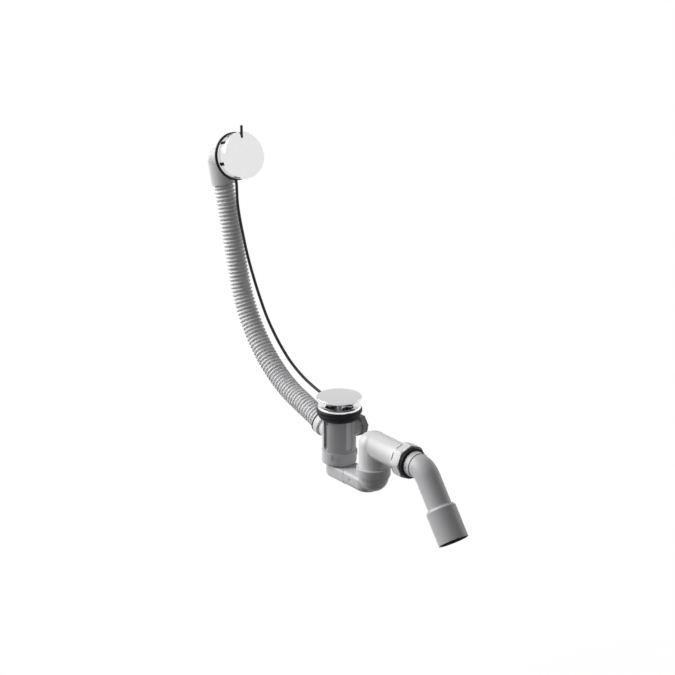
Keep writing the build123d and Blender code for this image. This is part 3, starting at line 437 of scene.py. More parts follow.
CHROME = PlatedMetal("polished_chrome", Slot.CHROME, (0.8, 0.8, 0.81), 0.1)
PLUG_CHROME = PlatedMetal("satin_chrome", Slot.CHROME, (0.62, 0.62, 0.63), 0.22)
STEEL = PlatedMetal("plain_steel", Slot.STEEL, (0.55, 0.55, 0.55), 0.3, smear=0.15, smear_size=3 * MM)
RUBBER = Rubber("black_gasket_rubber", Slot.RUBBER, (0.008, 0.008, 0.009), 0.5, 0.15)
BLACK = MouldedPlastic("black_moulding", Slot.BLACK, (0.016, 0.016, 0.017), 0.4, 0.25)
DARK_GREY = MouldedPlastic("dark_grey_moulding", Slot.DARK, (0.44, 0.433, 0.446), 0.3, 0.5)
CAP_GREY = MouldedPlastic("cap_grey_moulding", Slot.DARK, (0.38, 0.374, 0.385), 0.4)
LIGHT_GREY = MouldedPlastic("light_grey_moulding", Slot.LIGHT, (0.62, 0.613, 0.627), 0.36)
PALE_GREY = MouldedPlastic("pale_grey_moulding", Slot.LIGHT, (0.78, 0.775, 0.786), 0.34)
MID_GREY = MouldedPlastic("mid_grey_pipe", Slot.MID, (0.57, 0.562, 0.576), 0.34)
ADAPTER_GREY = MouldedPlastic("adapter_grey_pipe", Slot.MID, (0.53, 0.523, 0.536), 0.34)
# Pale grey on the floor of the body's right panel: painted light from the right where the lamp is shadowed.
PANEL_LIGHT = MouldedPlastic("painted_panel_light_moulding", Slot.DARK, (0.66, 0.65, 0.67), 0.3, 0.5)
# Dark grey on the flange's tube below its rim: painted shade where the tube shows through the body's slot.
TUBE_SHADE = MouldedPlastic("painted_tube_shade_moulding", Slot.DARK, (0.17, 0.167, 0.173), 0.5, 0.15)
# Dark grey on the bore at the adapter's open end: painted shade of the deep bore.
MOUTH_SHADE = MouldedPlastic("painted_mouth_shade_pipe", Slot.MID, (0.16, 0.158, 0.163), 0.6, 0.1)
COLLAR_WHITE = MouldedPlastic("white_moulding", Slot.LIGHT, (0.95, 0.945, 0.955), 0.34)
HOSE_GREY = RibbedPlastic("grey_hose", Slot.HOSE, (0.95, 0.942, 0.955), 0.4)
INNER_WHITE = MouldedPlastic("inner_moulding", Slot.INNER, (0.75, 0.75, 0.73), 0.45)


def settle(piece: bpy.types.Object, body: Body, finish: Finish, *nodes: str) -> bpy.types.Object:
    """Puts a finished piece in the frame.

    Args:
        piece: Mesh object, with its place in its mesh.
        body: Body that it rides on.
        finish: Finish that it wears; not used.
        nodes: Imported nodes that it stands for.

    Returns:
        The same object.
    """
    if piece.name not in bpy.context.scene.collection.objects:
        bpy.context.scene.collection.objects.link(piece)
    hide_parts(*nodes)
    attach(piece, body.value)
    LOG.info("%s: %d faces, rides on %s", piece.name, len(piece.data.polygons), body.value)
    return piece


@dataclass(frozen=True)
class Block:
    """An upright box beside a vertical axis, which is cut from a skin or added to it.

    It reaches from near to far in the way that it faces, and from low to high.
    """

    near: float
    far: float
    width: float
    low: float
    high: float
    facing: Facing = Facing.RIGHT
    axis_x: float = 0.0
    adds: bool = False

    def build(self) -> bpy.types.Object:
        """Makes the box as an object of its own.

        Returns:
            The new object.
        """
        size = Vector((self.far - self.near, self.width, self.high - self.low))
        middle = Vector(((self.near + self.far) / 2, 0, (self.low + self.high) / 2))
        turn = Matrix.Rotation(math.radians(self.facing.value), 4, "Z")
        place = Matrix.Translation((self.axis_x, 0, 0)) @ turn @ Matrix.LocRotScale(middle, None, size)
        work = bmesh.new()
        bmesh.ops.create_cube(work, size=1.0, matrix=place)
        return tool_object(work)


@dataclass(frozen=True)
class Band:
    """A turned ring about a vertical axis, which is added to a skin.

    Its outer profile is listed downward, as radius and height.
    """

    axis_x: float
    inner: float
    profile: tuple[tuple[float, float], ...]
    sides: int = 96
    adds: ClassVar[bool] = True

    def build(self) -> bpy.types.Object:
        """Makes the ring as an object of its own.

        Returns:
            The new object.
        """
        ends = ((self.inner, self.profile[-1][1]), (self.inner, self.profile[0][1]))
        outline = (*self.profile, *ends)
        work = bmesh.new()
        rings = []
        for step in range(self.sides):
            angle = math.tau * step / self.sides
            across, along = math.cos(angle), math.sin(angle)
            ring = [(self.axis_x + radius * across, radius * along, height) for radius, height in outline]
            rings.append([work.verts.new(place) for place in ring])
        for first, second in zip(rings, rings[1:] + rings[:1]):
            for index in range(len(outline)):
                work.faces.new((first[index], first[index - 1], second[index - 1], second[index]))
        bmesh.ops.recalc_face_normals(work, faces=work.faces)
        return tool_object(work)


Tool = Union[Block, Band]


def tool_object(work: bmesh.types.BMesh) -> bpy.types.Object:
    """Turns a tool's working mesh into an object in the scene.

    Args:
        work: The working mesh, which is freed.

    Returns:
        The new object.
    """
    mesh = bpy.data.meshes.new("skin_tool")
    work.to_mesh(mesh)
    work.free()
    tool = bpy.data.objects.new("skin_tool", mesh)
    bpy.context.scene.collection.objects.link(tool)
    return tool


@dataclass(frozen=True)
class Patch:
    """Another finish on some faces of a skin, chosen by where their centres lie."""

    finish: Finish
    covers: Callable[[Vector], bool]

    def dress(self, mesh: bpy.types.Mesh) -> None:
        """Adds the finish to a mesh and gives it to those faces.

        Args:
            mesh: The skin's mesh.
        """
        mesh.materials.append(self.finish.material())
        for face in mesh.polygons:
            if self.covers(face.center):
                face.material_index = len(mesh.materials) - 1


@dataclass
class Skin:
    """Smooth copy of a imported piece: shaped by its tools, with softened edges and patches of finish."""

    node: str
    finish: Finish
    edge: float = 0.35 * MM
    edge_steps: int = 2
    crease_deg: float = 30.0
    weld: float = 0.002 * MM
    flat_deg: float = 0.4
    tools: tuple[Tool, ...] = ()
    patches: tuple[Patch, ...] = ()

    def build(self, body: Body) -> bpy.types.Object:
        """Makes the copy and puts it in the frame.

        Args:
            body: Body that the piece rides on.

        Returns:
            The new object.
        """
        mesh = self.welded()
        piece = bpy.data.objects.new(self.node + "_skin", mesh)
        bpy.context.scene.collection.objects.link(piece)
        for tool in self.tools:
            self.shape(piece, tool)
        if self.edge:
            self.soften(piece)
        piece.data.materials.clear()
        piece.data.materials.append(self.finish.material())
        for patch in self.patches:
            patch.dress(piece.data)
        return settle(piece, body, self.finish, self.node)

    def welded(self) -> bpy.types.Mesh:
        """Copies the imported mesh, joins its loose triangles and marks its creases.

        Returns:
            The copy.
        """
        mesh = frame["nodes"][self.node].data.copy()
        mesh.name = self.node + "_skin"
        work = bmesh.new()
        work.from_mesh(mesh)
        bmesh.ops.remove_doubles(work, verts=work.verts, dist=self.weld)
        bmesh.ops.dissolve_limit(
            work, angle_limit=math.radians(self.flat_deg), verts=work.verts, edges=work.edges
        )
        work.to_mesh(mesh)
        work.free()
        if "custom_normal" in mesh.attributes:
            mesh.attributes.remove(mesh.attributes["custom_normal"])
        self.crease(mesh)
        return mesh

    def crease(self, mesh: bpy.types.Mesh) -> None:
        """Smooths the mesh and marks its creases sharp."""
        mesh.shade_smooth()
        mesh.set_sharp_from_angle(angle=math.radians(self.crease_deg))

    def shape(self, piece: bpy.types.Object, tool: Tool) -> None:
        """Cuts a tool's form from the copy, or adds it.

        Args:
            piece: The copy's object.
            tool: The tool, whose own object is removed after use.
        """
        other = tool.build()
        change = piece.modifiers.new("tool", "BOOLEAN")
        change.operation = "UNION" if tool.adds else "DIFFERENCE"
        change.solver = "EXACT"
        change.object = other
        flatten(piece)
        bpy.data.objects.remove(other)
        self.crease(piece.data)

    def soften(self, piece: bpy.types.Object) -> None:
        """Rounds the creases by a small bevel and leaves a plain mesh.

        Args:
            piece: The copy's object.
        """
        bevel = piece.modifiers.new("soft_edges", "BEVEL")
        bevel.width = self.edge
        bevel.segments = self.edge_steps
        bevel.limit_method = "ANGLE"
        bevel.angle_limit = math.radians(self.crease_deg)
        bevel.harden_normals = True
        flatten(piece)


def flatten(piece: bpy.types.Object) -> None:
    """Turns a piece's modifiers into plain mesh.

    Args:
        piece: Mesh object in the scene.
    """
    graph = bpy.context.evaluated_depsgraph_get()
    solid = piece.evaluated_get(graph)
    mesh = bpy.data.meshes.new_from_object(solid, preserve_all_data_layers=True, depsgraph=graph)
    mesh.name = piece.data.name
    piece.modifiers.clear()
    piece.data = mesh


@dataclass
class TubeTree:
    """Geometry tree that makes a closed ribbed tube along a curve.

    The tube has a foot of its own radius at the curve's start and a cuff at its end. Between them
    its wall waves from the root radius to the crest radius, with the ends of the wave cut flat.
    """

    name: str
    fillet_steps: int = 64
    wave_middle: float = 0.5
    wave_swing: float = 0.85
    weld: float = 0.001 * MM
    sockets: dict[str, str] = field(default_factory=dict)
    tree: Optional[bpy.types.NodeTree] = None

    LENGTHS: ClassVar[tuple[str, ...]] = (
        "Bend Radius", "Step", "Root Radius", "Crest Radius", "Rib Pitch", "Foot Radius", "Foot Length",
        "Neck Length", "Cuff Radius", "Cuff Length", "Bore Radius",
    )

    def build(self) -> "TubeTree":
        """Builds the tree.

        Returns:
            This object.
        """
        self.tree = bpy.data.node_groups.new(self.name, "GeometryNodeTree")
        self.declare("Geometry", "INPUT", "NodeSocketGeometry")
        for name in self.LENGTHS:
            self.declare(name, "INPUT", "NodeSocketFloat")
        self.declare("Sides", "INPUT", "NodeSocketInt")
        self.declare("Material", "INPUT", "NodeSocketMaterial")
        self.declare("Geometry", "OUTPUT", "NodeSocketGeometry")
        self.link()
        return self

    def declare(self, name: str, side: str, kind: str) -> None:
        """Adds a named socket to the tree's interface and keeps its identifier.

        Args:
            name: The socket's name.
            side: INPUT or OUTPUT.
            kind: The socket's type name.
        """
        socket = self.tree.interface.new_socket(name=name, in_out=side, socket_type=kind)
        if side == "INPUT":
            self.sockets[name] = socket.identifier

    def link(self) -> None:
        """Adds the tree's nodes."""
        graph = Graph(self.tree)
        given = graph.node("NodeGroupInput")
        size = {socket.name: Wire(graph, socket) for socket in given.outputs if socket.name}
        path = self.centre_line(graph, size)
        radius, rib = self.wave(graph, size, path)
        # The rib place is kept on the mesh for the hose's painted groove shade.
        path = graph.wire("GeometryNodeStoreNamedAttribute", 0, {"data_type": "FLOAT", "domain": "POINT"}, {
            "Geometry": path,
            "Name": RIB_ATTRIBUTE,
            "Value": rib,
        })
        ring = graph.wire("GeometryNodeCurvePrimitiveCircle", "Curve", {"mode": "RADIUS"}, {
            "Resolution": size["Sides"],
            "Radius": 1.0,
        })
        outside = self.wall(graph, path, ring, radius)
        bore = graph.wire("GeometryNodeFlipFaces", 0, None, {
            "Mesh": self.wall(graph, path, ring, size["Bore Radius"]),
        })
        joined = graph.node("GeometryNodeJoinGeometry")
        for surface in (bore, outside):
            self.tree.links.new(surface.socket, joined.inputs[0])
        closed = graph.wire("GeometryNodeMergeByDistance", 0, None, {
            "Geometry": Wire(graph, joined.outputs[0]),
            "Distance": self.weld,
        })
        real = graph.wire("GeometryNodeRealizeInstances", 0, None, {"Geometry": closed})
        smooth = graph.wire("GeometryNodeSetShadeSmooth", 0, None, {"Geometry": real})
        painted = graph.wire("GeometryNodeSetMaterial", 0, None, {
            "Geometry": smooth,
            "Material": size["Material"],
        })
        graph.node("NodeGroupOutput", None, {"Geometry": painted})

    def centre_line(self, graph: Graph, size: dict[str, Wire]) -> Wire:
        """Rounds the curve's corners and divides it into even steps.

        Args:
            graph: The tree's nodes.
            size: The tree's inputs by name.

        Returns:
            The centre line.
        """
        path = graph.wire("GeometryNodeFilletCurve", 0, {"mode": "POLY"}, {
            "Curve": size["Geometry"],
            "Count": self.fillet_steps,
            "Radius": size["Bend Radius"],
        })
        return graph.wire("GeometryNodeResampleCurve", 0, {"mode": "LENGTH"}, {
            "Curve": path,
            "Length": size["Step"],
        })

    def wave(self, graph: Graph, size: dict[str, Wire], path: Wire) -> tuple[Wire, Wire]:
        """Works out the outer wall along the centre line.

        Args:
            graph: The tree's nodes.
            size: The tree's inputs by name.
            path: The centre line.

        Returns:
            The wall's radius, and its place between groove, zero, and crest, one.
        """
        along = graph.wire("GeometryNodeSplineParameter", "Length")
        left = graph.wire("GeometryNodeCurveLength", 0, None, {"Curve": path}) - along
        first = size["Foot Length"] + size["Neck Length"]
        ribbed = (along > first) * (left > size["Cuff Length"])
        phase = (along - first) / size["Rib Pitch"] * math.tau
        wave = (self.wave_middle - phase.cosine() * self.wave_swing).clamped() * ribbed
        root = size["Root Radius"]
        radius = root + wave * (size["Crest Radius"] - root)
        radius = radius + (along < size["Foot Length"]) * (size["Foot Radius"] - root)
        radius = radius + (left < size["Cuff Length"]) * (size["Cuff Radius"] - root)
        half_step = size["Step"] / 2
        tip = ((along < half_step) + (left < half_step)).clamped()
        radius = radius + tip * (size["Bore Radius"] - radius)
        return radius, wave + (1 - ribbed)

    @staticmethod
    def wall(graph: Graph, path: Wire, ring: Wire, radius: Wire) -> Wire:
        """Sweeps a ring along the path.

        Args:
            graph: The tree's nodes.
            path: The centre line.
            ring: A ring of radius 1.
            radius: Radius of the wall along the path.

        Returns:
            The wall's surface.
        """
        return graph.wire("GeometryNodeCurveToMesh", 0, None, {
            "Curve": path,
            "Profile Curve": ring,
            "Scale": radius,
        })

    def sweep(self, piece: bpy.types.Object, values: dict[str, Any]) -> bpy.types.Object:
        """Runs the tree on a curve.

        Args:
            piece: Curve object.
            values: Sizes and material by the tree's input names.

        Returns:
            A mesh object with the curve's name; the curve is removed.
        """
        bpy.context.scene.collection.objects.link(piece)
        modifier = piece.modifiers.new(self.name, "NODES")
        modifier.node_group = self.tree
        for name, value in values.items():
            modifier[self.sockets[name]] = value
        graph = bpy.context.evaluated_depsgraph_get()
        mesh = bpy.data.meshes.new_from_object(piece.evaluated_get(graph), depsgraph=graph)
        name = piece.name
        bpy.data.objects.remove(piece)
        mesh.name = name
        return bpy.data.objects.new(name, mesh)


def run_curve(name: str, points: list[Vector]) -> bpy.types.Object:
    """Makes a curve of straight runs.

    Args:
        name: Name of the object.
        points: Points of the curve.

    Returns:
        The curve object, not yet in the scene.
    """
    curve = bpy.data.curves.new(name, "CURVE")
    curve.dimensions = "3D"
    spline = curve.splines.new("POLY")
    spline.points.add(len(points) - 1)
    for point, place in zip(spline.points, points):
        point.co = (*place, 1.0)
    return bpy.data.objects.new(name, curve)


def from_axis(place: Vector, origin: Place, fall_deg: float) -> tuple[float, float]:
    """Measures a point from an axis in the plane of symmetry.

    Args:
        place: The point.
        origin: Start of the axis.
        fall_deg: Angle of the axis below +X.

    Returns:
        The point's place along the axis and its distance from it.
    """
    fall = math.radians(fall_deg)
    axis = Vector((math.cos(fall), 0, -math.sin(fall)))
    offset = place - Vector(origin)
    along = offset.dot(axis)
    return along, (offset - axis * along).length


@dataclass
class SubAssembly:
    """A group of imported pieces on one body: skins for those that show, and finishes for those inside."""

    body: Body

    def skins(self) -> tuple[Skin, ...]:
        """Pieces that show, in the order that they are made."""
        return ()

    def inner(self) -> dict[str, Finish]:
        """Finishes of the pieces inside, by node."""
        return {}

    def build(self) -> None:
        """Makes the pieces that show."""
        for skin in self.skins():
            skin.build(self.body)

    def dress(self) -> None:
        """Gives the pieces inside their finish."""
        for node, finish in self.inner().items():
            for slot in frame["nodes"][node].material_slots:
                slot.material = finish.material()
            LOG.info("%s: dressed in %s", node, finish.name)


@dataclass
class OverflowHead(SubAssembly):
    """Ring, gasket and elbow on the bath wall, with the screws behind the cover."""

    body: Body = Body.WASTE

    def skins(self) -> tuple[Skin, ...]:
        """Lists the pieces that show.

        Returns:
            Their skins.
        """
        return (
            Skin("overflow_ring", CHROME),
            Skin("overflow_gasket", RUBBER, edge=0),
            Skin("overflow_elbow", PALE_GREY),
        )

    def inner(self) -> dict[str, Finish]:
        """Pieces inside."""
        return {"overflow_screws": STEEL}


@dataclass
class TurningCover(SubAssembly):
    """Chrome cover with its pin, and the spindle and crank behind it."""

    body: Body = Body.COVER

    def skins(self) -> tuple[Skin, ...]:
        """Pieces that show."""
        return Skin("overflow_cover", CHROME), Skin("cover_pin", BLACK, edge=0)

    def inner(self) -> dict[str, Finish]:
        """Lists the pieces inside.

        Returns:
            Their finishes by node.
        """
        return {
            "drive_spindle": STEEL,
            "spindle_clip": STEEL,
            "cover_grub_screw": STEEL,
            "head_crank": INNER_WHITE,
        }


@dataclass
class OverflowHose(SubAssembly):
    """Corrugated hose from the side port up to the elbow, with its collar, clip and seals."""

    body: Body = Body.WASTE
    port_start: float = 43.5 * MM
    elbow_depth: float = 55 * MM
    elbow_end: float = -30.2 * MM
    bend_radius: float = 255 * MM
    crest_radius: float = 18 * MM
    root_radius: float = 15.8 * MM
    bore_radius: float = 14.5 * MM
    rib_pitch: float = 6.6 * MM
    foot_radius: float = 17.8 * MM
    foot_length: float = 2 * MM
    neck_length: float = 6 * MM
    cuff_radius: float = 17.1 * MM
    cuff_length: float = 16 * MM
    steps_per_rib: int = 12
    sides: int = 48

    def skins(self) -> tuple[Skin, ...]:
        """Pieces that show, apart from the hose."""
        return Skin("hose_collar", COLLAR_WHITE), Skin("hose_clip", BLACK)

    def inner(self) -> dict[str, Finish]:
        """Pieces inside."""
        return {"hose_top_seal": RUBBER, "hose_washer": RUBBER}

    def route(self) -> list[Vector]:
        """Finds the hose's centre line, which has one bend.

        Returns:
            Its start, corner and end.
        """
        seat = next(mount for mount in frame["record"]["mounts"] if mount["name"] == "overflow_seat")
        outward = Vector(seat["axis"])
        up = Vector((-outward.z, 0, outward.x))
        top = Vector(seat["pos_m"]) - outward * self.elbow_depth
        rise = math.radians(PORT_RISE_DEG)
        out = Vector((-math.cos(rise), 0, math.sin(rise)))
        port = Vector((0, 0, PORT_HEIGHT))
        offset = top - port
        reach = (offset.x * up.z - offset.z * up.x) / (out.x * up.z - out.z * up.x)
        return [port + out * self.port_start, port + out * reach, top + up * self.elbow_end]

    def build(self) -> None:
        """Makes the hose and the pieces round its lower end."""
        super().build()
        path = run_curve("overflow_hose_ribbed", self.route())
        hose = TubeTree("ribbed_tube").build().sweep(path, {
            "Bend Radius": self.bend_radius,
            "Step": self.rib_pitch / self.steps_per_rib,
            "Root Radius": self.root_radius,
            "Crest Radius": self.crest_radius,
            "Rib Pitch": self.rib_pitch,
            "Foot Radius": self.foot_radius,
            "Foot Length": self.foot_length,
            "Neck Length": self.neck_length,
            "Cuff Radius": self.cuff_radius,
            "Cuff Length": self.cuff_length,
            "Bore Radius": self.bore_radius,
            "Sides": self.sides,
            "Material": HOSE_GREY.material(),
        })
        settle(hose, self.body, HOSE_GREY, "overflow_hose")


@dataclass
class LiftCable(SubAssembly):
    """Cable that links the cover to the lever: a wire in a sheath with a ferrule on each end."""

    body: Body = Body.WASTE
    ferrule_edge: float = 0.2 * MM

    def skins(self) -> tuple[Skin, ...]:
        """Pieces that show."""
        return Skin("cable_ferrules", BLACK, edge=self.ferrule_edge), Skin("cable_sheath", BLACK, edge=0)

    def inner(self) -> dict[str, Finish]:
        """Pieces inside."""
        return {"cable_wire": STEEL}


@dataclass
class WasteFitting(SubAssembly):
    """Chrome flange, gaskets, body and lever housing of the waste, and the nut below it.

    Floors, roots and radii are measured from the waste's axis. The body's right panel is a shallow
    recess closed by a plate, whose floor is painted lighter as painted light, and its near panel is a deep
    slot that shows the flange's tube, painted dark grey as painted shade.
    """

    body: Body = Body.WASTE
    rim_low: float = -8 * MM
    tube_radius: float = 24.8 * MM
    port_start: float = 20 * MM
    port_radii: tuple[float, float] = (17.4 * MM, 18.3 * MM)
    panel_floor: float = 26.4 * MM
    panel_root: float = 25 * MM
    panel_width: float = 12.4 * MM
    panel_low: float = -72 * MM
    panel_high: float = -8 * MM
    seat_root: float = 25.45 * MM
    seat_low: float = -28.5 * MM
    seat_lap: float = 0.1 * MM
    patch_depth: float = 0.1 * MM
    patch_half_width: float = 6.5 * MM
    slot_floor: float = 23.7 * MM
    slot_width: float = 11 * MM
    slot_low: float = -68 * MM
    slot_high: float = -11.5 * MM
    clear_radius: float = 30 * MM

    def skins(self) -> tuple[Skin, ...]:
        """Lists the pieces that show.

        Returns:
            Their skins.
        """
        port = Patch(COLLAR_WHITE, self.on_side_port)
        # The right panel's floor is painted lighter as painted light.
        panel = Patch(PANEL_LIGHT, self.on_panel_floor)
        return (
            # The flange's tube below its rim is painted dark grey as painted shade in the slot.
            Skin("waste_flange", CHROME, patches=(Patch(TUBE_SHADE, self.on_tube),)),
            Skin("bath_gasket", RUBBER, edge=0),
            Skin("body_gasket", RUBBER, edge=0),
            Skin("waste_body", DARK_GREY, tools=self.panel_tools(), patches=(port, panel)),
            Skin("lever_cap", CAP_GREY),
            Skin("trap_nut", LIGHT_GREY),
        )

    def inner(self) -> dict[str, Finish]:
        """Pieces inside."""
        return {"lever_seal": RUBBER, "trap_washer": RUBBER}

    def panel_tools(self) -> tuple[Block, ...]:
        """Shapes the body's two panels.

        Returns:
            The right panel's plate below the flange's seat and beside it, and the near slot.
        """
        floor = self.panel_floor
        width = self.panel_width
        slot = (self.slot_floor, self.clear_radius, self.slot_width, self.slot_low, self.slot_high)
        lower_top = self.seat_low + self.seat_lap
        upper_foot = self.seat_low - self.seat_lap
        return (
            Block(self.panel_root, floor, width, self.panel_low, lower_top, adds=True),
            Block(self.seat_root, floor, width, upper_foot, self.panel_high, adds=True),
            Block(*slot, Facing.NEAR),
        )

    def on_tube(self, place: Vector) -> bool:
        """Says whether a point lies on the outside of the flange's tube, below its rim."""
        return place.z < self.rim_low and place.xy.length > self.tube_radius

    def on_side_port(self, place: Vector) -> bool:
        """Says whether a point lies on the outside of the port that the hose is fixed to."""
        along, off = from_axis(place, (0, 0, PORT_HEIGHT), 180 + PORT_RISE_DEG)
        return along > self.port_start and self.port_radii[0] < off < self.port_radii[1]

    def on_panel_floor(self, place: Vector) -> bool:
        """Says whether a point lies on the floor of the right panel."""
        return abs(place.x - self.panel_floor) < self.patch_depth and abs(place.y) < self.patch_half_width


@dataclass
class LiftingPlug(SubAssembly):
    """Chrome plug with its seal, stem and height adjuster."""

    body: Body = Body.PLUG

    def skins(self) -> tuple[Skin, ...]:
        """Lists the pieces that show.

        Returns:
            Their skins.
        """
        return (
            Skin("plug_cap", PLUG_CHROME),
            Skin("plug_seal", RUBBER),
            Skin("plug_retainer", INNER_WHITE),
            Skin("plug_stem", INNER_WHITE),
        )

    def inner(self) -> dict[str, Finish]:
        """Pieces inside."""
        return {"height_screw": STEEL, "height_nut": STEEL}


@dataclass
class LiftLever(SubAssembly):
    """Lever inside the waste body."""

    body: Body = Body.LEVER

    def inner(self) -> dict[str, Finish]:
        """Pieces inside."""
        return {"lever_shaft": STEEL, "lever_finger": INNER_WHITE, "lever_crank": INNER_WHITE}


@dataclass
class LowTrap(SubAssembly):
    """Two halves of the trap's trough: a groove at their seam, a ring round the socket, and two latches.

    Half breadths and floors are measured from the plane of symmetry. The ring's profile is its radius
    from the socket's axis and its height, listed downward.
    """

    body: Body = Body.TRAP
    seam_x: float = 41 * MM
    seam_width: float = 2.4 * MM
    seam_half_breadth: float = 20.4 * MM
    seam_high: float = -99.5 * MM
    seam_low: float = -119.5 * MM
    clear_half_breadth: float = 30 * MM
    clear_breadth: float = 50 * MM
    clear_high: float = -95 * MM
    clear_low: float = -125 * MM
    latch_x: float = 59 * MM
    latch_root: float = 20.55 * MM
    latch_floor: float = 22 * MM
    latch_width: float = 5.4 * MM
    latch_low: float = -108.3 * MM
    latch_high: float = -103.7 * MM
    socket_x: float = 94 * MM
    ring_root: float = 24 * MM
    ring_profile: tuple[tuple[float, float], ...] = (
        (26.4 * MM, -74.4 * MM), (27.6 * MM, -74.6 * MM), (28.2 * MM, -75.4 * MM), (28.2 * MM, -89 * MM),
        (27.8 * MM, -90.2 * MM), (26.8 * MM, -91 * MM), (25.4 * MM, -91.4 * MM),
    )

    def skins(self) -> tuple[Skin, ...]:
        """Lists the pieces that show.

        Returns:
            Their skins.
        """
        ring = Band(self.socket_x, self.ring_root, self.ring_profile)
        return (
            Skin("trap_inlet", LIGHT_GREY, edge=0, tools=self.seam_groove()),
            Skin("trap_cup", LIGHT_GREY, tools=(ring, *self.latch_floors())),
        )

    def inner(self) -> dict[str, Finish]:
        """Pieces inside."""
        return {"cup_seal": RUBBER}

    def seam_groove(self) -> tuple[Block, ...]:
        """Cuts the groove all round the seam.

        Returns:
            Its near and far sides, its top and its bottom.
        """
        reach = (self.seam_half_breadth, self.clear_half_breadth)
        side = (*reach, self.seam_width, self.clear_low, self.clear_high)
        across = (-self.seam_width / 2, self.seam_width / 2, self.clear_breadth)
        return (
            Block(*side, Facing.NEAR, self.seam_x),
            Block(*side, Facing.FAR, self.seam_x),
            Block(*across, self.seam_high, self.clear_high, axis_x=self.seam_x),
            Block(*across, self.clear_low, self.seam_low, axis_x=self.seam_x),
        )

    def latch_floors(self) -> tuple[Block, ...]:
        """Closes the latch holes behind a shallow dimple, near and far."""
        size = (self.latch_root, self.latch_floor, self.latch_width, self.latch_low, self.latch_high)
        return tuple(Block(*size, facing, self.latch_x, adds=True) for facing in (Facing.NEAR, Facing.FAR))


@dataclass
class TurningRiser(SubAssembly):
    """Riser elbow with its union nut and black seal."""

    body: Body = Body.RISER

    def skins(self) -> tuple[Skin, ...]:
        """Lists the pieces that show.

        Returns:
            Their skins.
        """
        return (
            Skin("riser_elbow", PALE_GREY),
            Skin("union_nut", PALE_GREY),
            Skin("union_seal", RUBBER, edge=0),
        )


@dataclass
class DrainOutlet(SubAssembly):
    """Outlet bend and the wider sleeve on its end, whose axis falls from where the bend turns."""

    body: Body = Body.OUTLET
    turn_point: Place = (227 * MM, 0.0, -36 * MM)
    fall_deg: float = 52.5
    mouth_start: float = 99 * MM
    mouth_radius: float = 23.5 * MM

    def skins(self) -> tuple[Skin, ...]:
        """Pieces that show."""
        # The bore at the open end is painted dark as painted shade.
        mouth = Patch(MOUTH_SHADE, self.in_mouth)
        return Skin("outlet_bend", MID_GREY), Skin("drain_adapter", ADAPTER_GREY, patches=(mouth,))

    def inner(self) -> dict[str, Finish]:
        """Pieces inside."""
        return {"adapter_seal": RUBBER}

    def in_mouth(self, place: Vector) -> bool:
        """Says whether a point lies in the bore at the adapter's open end."""
        along, off = from_axis(place, self.turn_point, self.fall_deg)
        return along > self.mouth_start and off < self.mouth_radius


@dataclass
class Softbox:
    """A wide lamp far off, so that it lights the object and the floor evenly."""

    name: str
    towards: Place
    spread_deg: float
    level: float

    def build(self) -> None:
        """Hangs the lamp in its direction; at level 1 it shows a facing white surface as white."""
        data = bpy.data.lights.new(self.name, "SUN")
        data.angle = math.radians(self.spread_deg)
        data.energy = self.level * math.pi
        lamp = bpy.data.objects.new(self.name, data)
        lamp.rotation_euler = Vector(self.towards).to_track_quat("Z", "Y").to_euler()
        bpy.context.scene.collection.objects.link(lamp)

    def on_floor(self) -> float:
        """Level of the lamp's light on a level floor."""
        return self.level * Vector(self.towards).normalized().z


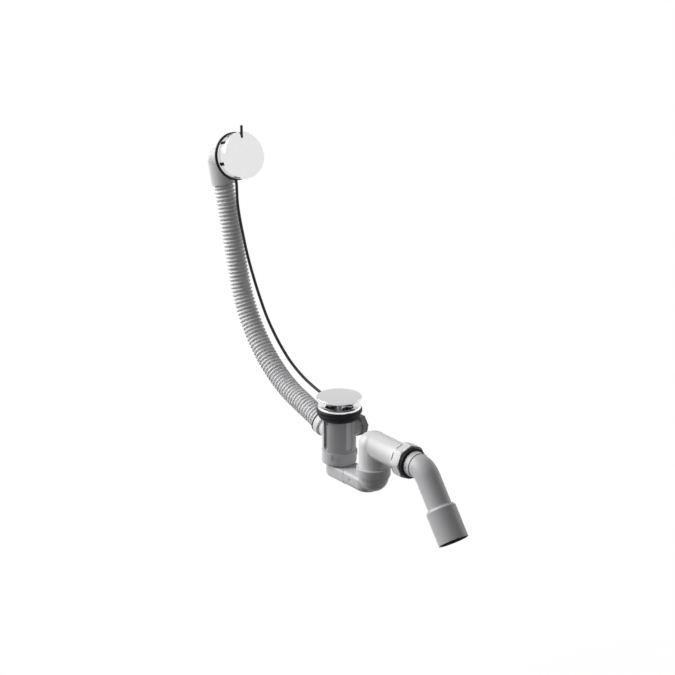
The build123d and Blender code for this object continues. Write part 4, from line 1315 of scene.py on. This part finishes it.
@dataclass
class Studio:
    """White room, soft lamps, and a camera at the photograph's place."""

    azimuth_deg: float = 53.5
    elevation_deg: float = 19.3
    distance: float = 4.0
    anchor: Place = (0.0, 0.0, 3 * MM)
    anchor_pixel: tuple[float, float] = (339.3, 404.9)
    image_pixels: int = 675
    focal_pixels: float = 2424.2
    sensor_width: float = 36.0
    floor_drop: float = 0.35
    floor_reach: float = 40.0
    floor_tone: float = 0.12
    ambient: float = 0.12
    lamps: tuple[Softbox, ...] = (
        Softbox("left_softbox", towards=(-0.64, -0.57, 0.5), spread_deg=50.0, level=1.1),
        Softbox("right_rim_lamp", towards=(0.1, 0.95, 0.3), spread_deg=40.0, level=0.16),
    )

    def build(self) -> None:
        """Builds the whole studio."""
        bpy.context.scene.view_settings.view_transform = "Standard"
        self.place_camera()
        self.lay_floor()
        self.light_world()
        for lamp in self.lamps:
            lamp.build()

    def place_camera(self) -> None:
        """Puts the camera where the anchor falls on its pixel of the photograph."""
        azimuth = math.radians(self.azimuth_deg)
        elevation = math.radians(self.elevation_deg)
        right = Vector((math.cos(azimuth), math.sin(azimuth), 0))
        back = Vector((
            math.sin(azimuth) * math.cos(elevation),
            -math.cos(azimuth) * math.cos(elevation),
            math.sin(elevation),
        ))
        up = back.cross(right)
        metres_per_pixel = self.distance / self.focal_pixels
        across = (self.anchor_pixel[0] - self.image_pixels / 2) * metres_per_pixel
        down = (self.anchor_pixel[1] - self.image_pixels / 2) * metres_per_pixel
        data = bpy.data.cameras.new("photo_camera")
        data.sensor_width = self.sensor_width
        data.lens = self.focal_pixels / self.image_pixels * self.sensor_width
        camera = bpy.data.objects.new("photo_camera", data)
        turn = Matrix((right, up, back)).transposed().to_4x4()
        place = Vector(self.anchor) + back * self.distance - right * across + up * down
        camera.matrix_world = Matrix.Translation(place) @ turn
        bpy.context.scene.collection.objects.link(camera)
        bpy.context.scene.camera = camera

    def lay_floor(self) -> None:
        """Lays a wide pale floor below the object, which shows just white outside its shadow."""
        reach = self.floor_reach
        lit = self.ambient + sum(lamp.on_floor() for lamp in self.lamps)
        short_of_white = 1 - self.floor_tone * lit
        height = CAD_BOX[0].z - self.floor_drop
        signs = ((-1, -1), (1, -1), (1, 1), (-1, 1))
        corners = [(across * reach, along * reach, height) for across, along in signs]
        mesh = bpy.data.meshes.new("studio_floor")
        mesh.from_pydata(corners, [], [(0, 1, 2, 3)])
        paint = Paint("studio_floor")
        matt = paint.wire("ShaderNodeBsdfDiffuse", 0, None, {"Color": opaque((self.floor_tone,) * 3)})
        glow = paint.wire("ShaderNodeEmission", 0, None, {"Strength": seen(paint) * short_of_white})
        mesh.materials.append(paint.surface(paint.wire("ShaderNodeAddShader", 0, None, {0: matt, 1: glow})))
        floor = bpy.data.objects.new("studio_floor", mesh)
        bpy.context.scene.collection.objects.link(floor)

    def light_world(self) -> None:
        """Makes a world that looks white and lights the object softly."""
        world = bpy.data.worlds.new("white_room")
        world.use_nodes = True
        bpy.context.scene.world = world
        graph = Graph(world.node_tree)
        graph.tree.nodes.clear()
        strength = self.ambient + seen(graph) * (1 - self.ambient)
        background = graph.wire("ShaderNodeBackground", 0, None, {
            "Color": (1, 1, 1, 1),
            "Strength": strength,
        })
        graph.node("ShaderNodeOutputWorld", None, {"Surface": background})


def seen(graph: Graph) -> Wire:
    """Picks the rays from the camera and those that metal or glass throws on.

    Args:
        graph: Nodes of the floor's material or of the world.

    Returns:
        One for such a ray, else zero.
    """
    path = graph.node("ShaderNodeLightPath")
    kinds = ("Is Camera Ray", "Is Glossy Ray", "Is Transmission Ray")
    direct, glossy, passed = (Wire(graph, path.outputs[kind]) for kind in kinds)
    return (direct + glossy + passed).clamped()


def main() -> None:
    """Builds and dresses every sub-assembly, then the studio."""
    logging.basicConfig(level=logging.INFO, format="%(name)s: %(message)s")
    groups: tuple[SubAssembly, ...] = (
        OverflowHead(), TurningCover(), OverflowHose(), LiftCable(),
        WasteFitting(), LiftingPlug(), LiftLever(),
        LowTrap(), TurningRiser(), DrainOutlet(),
    )
    for group in groups:
        group.build()
        group.dress()
        LOG.info("%s done", type(group).__name__)
    Studio().build()


if __name__ == "__main__":
    main()
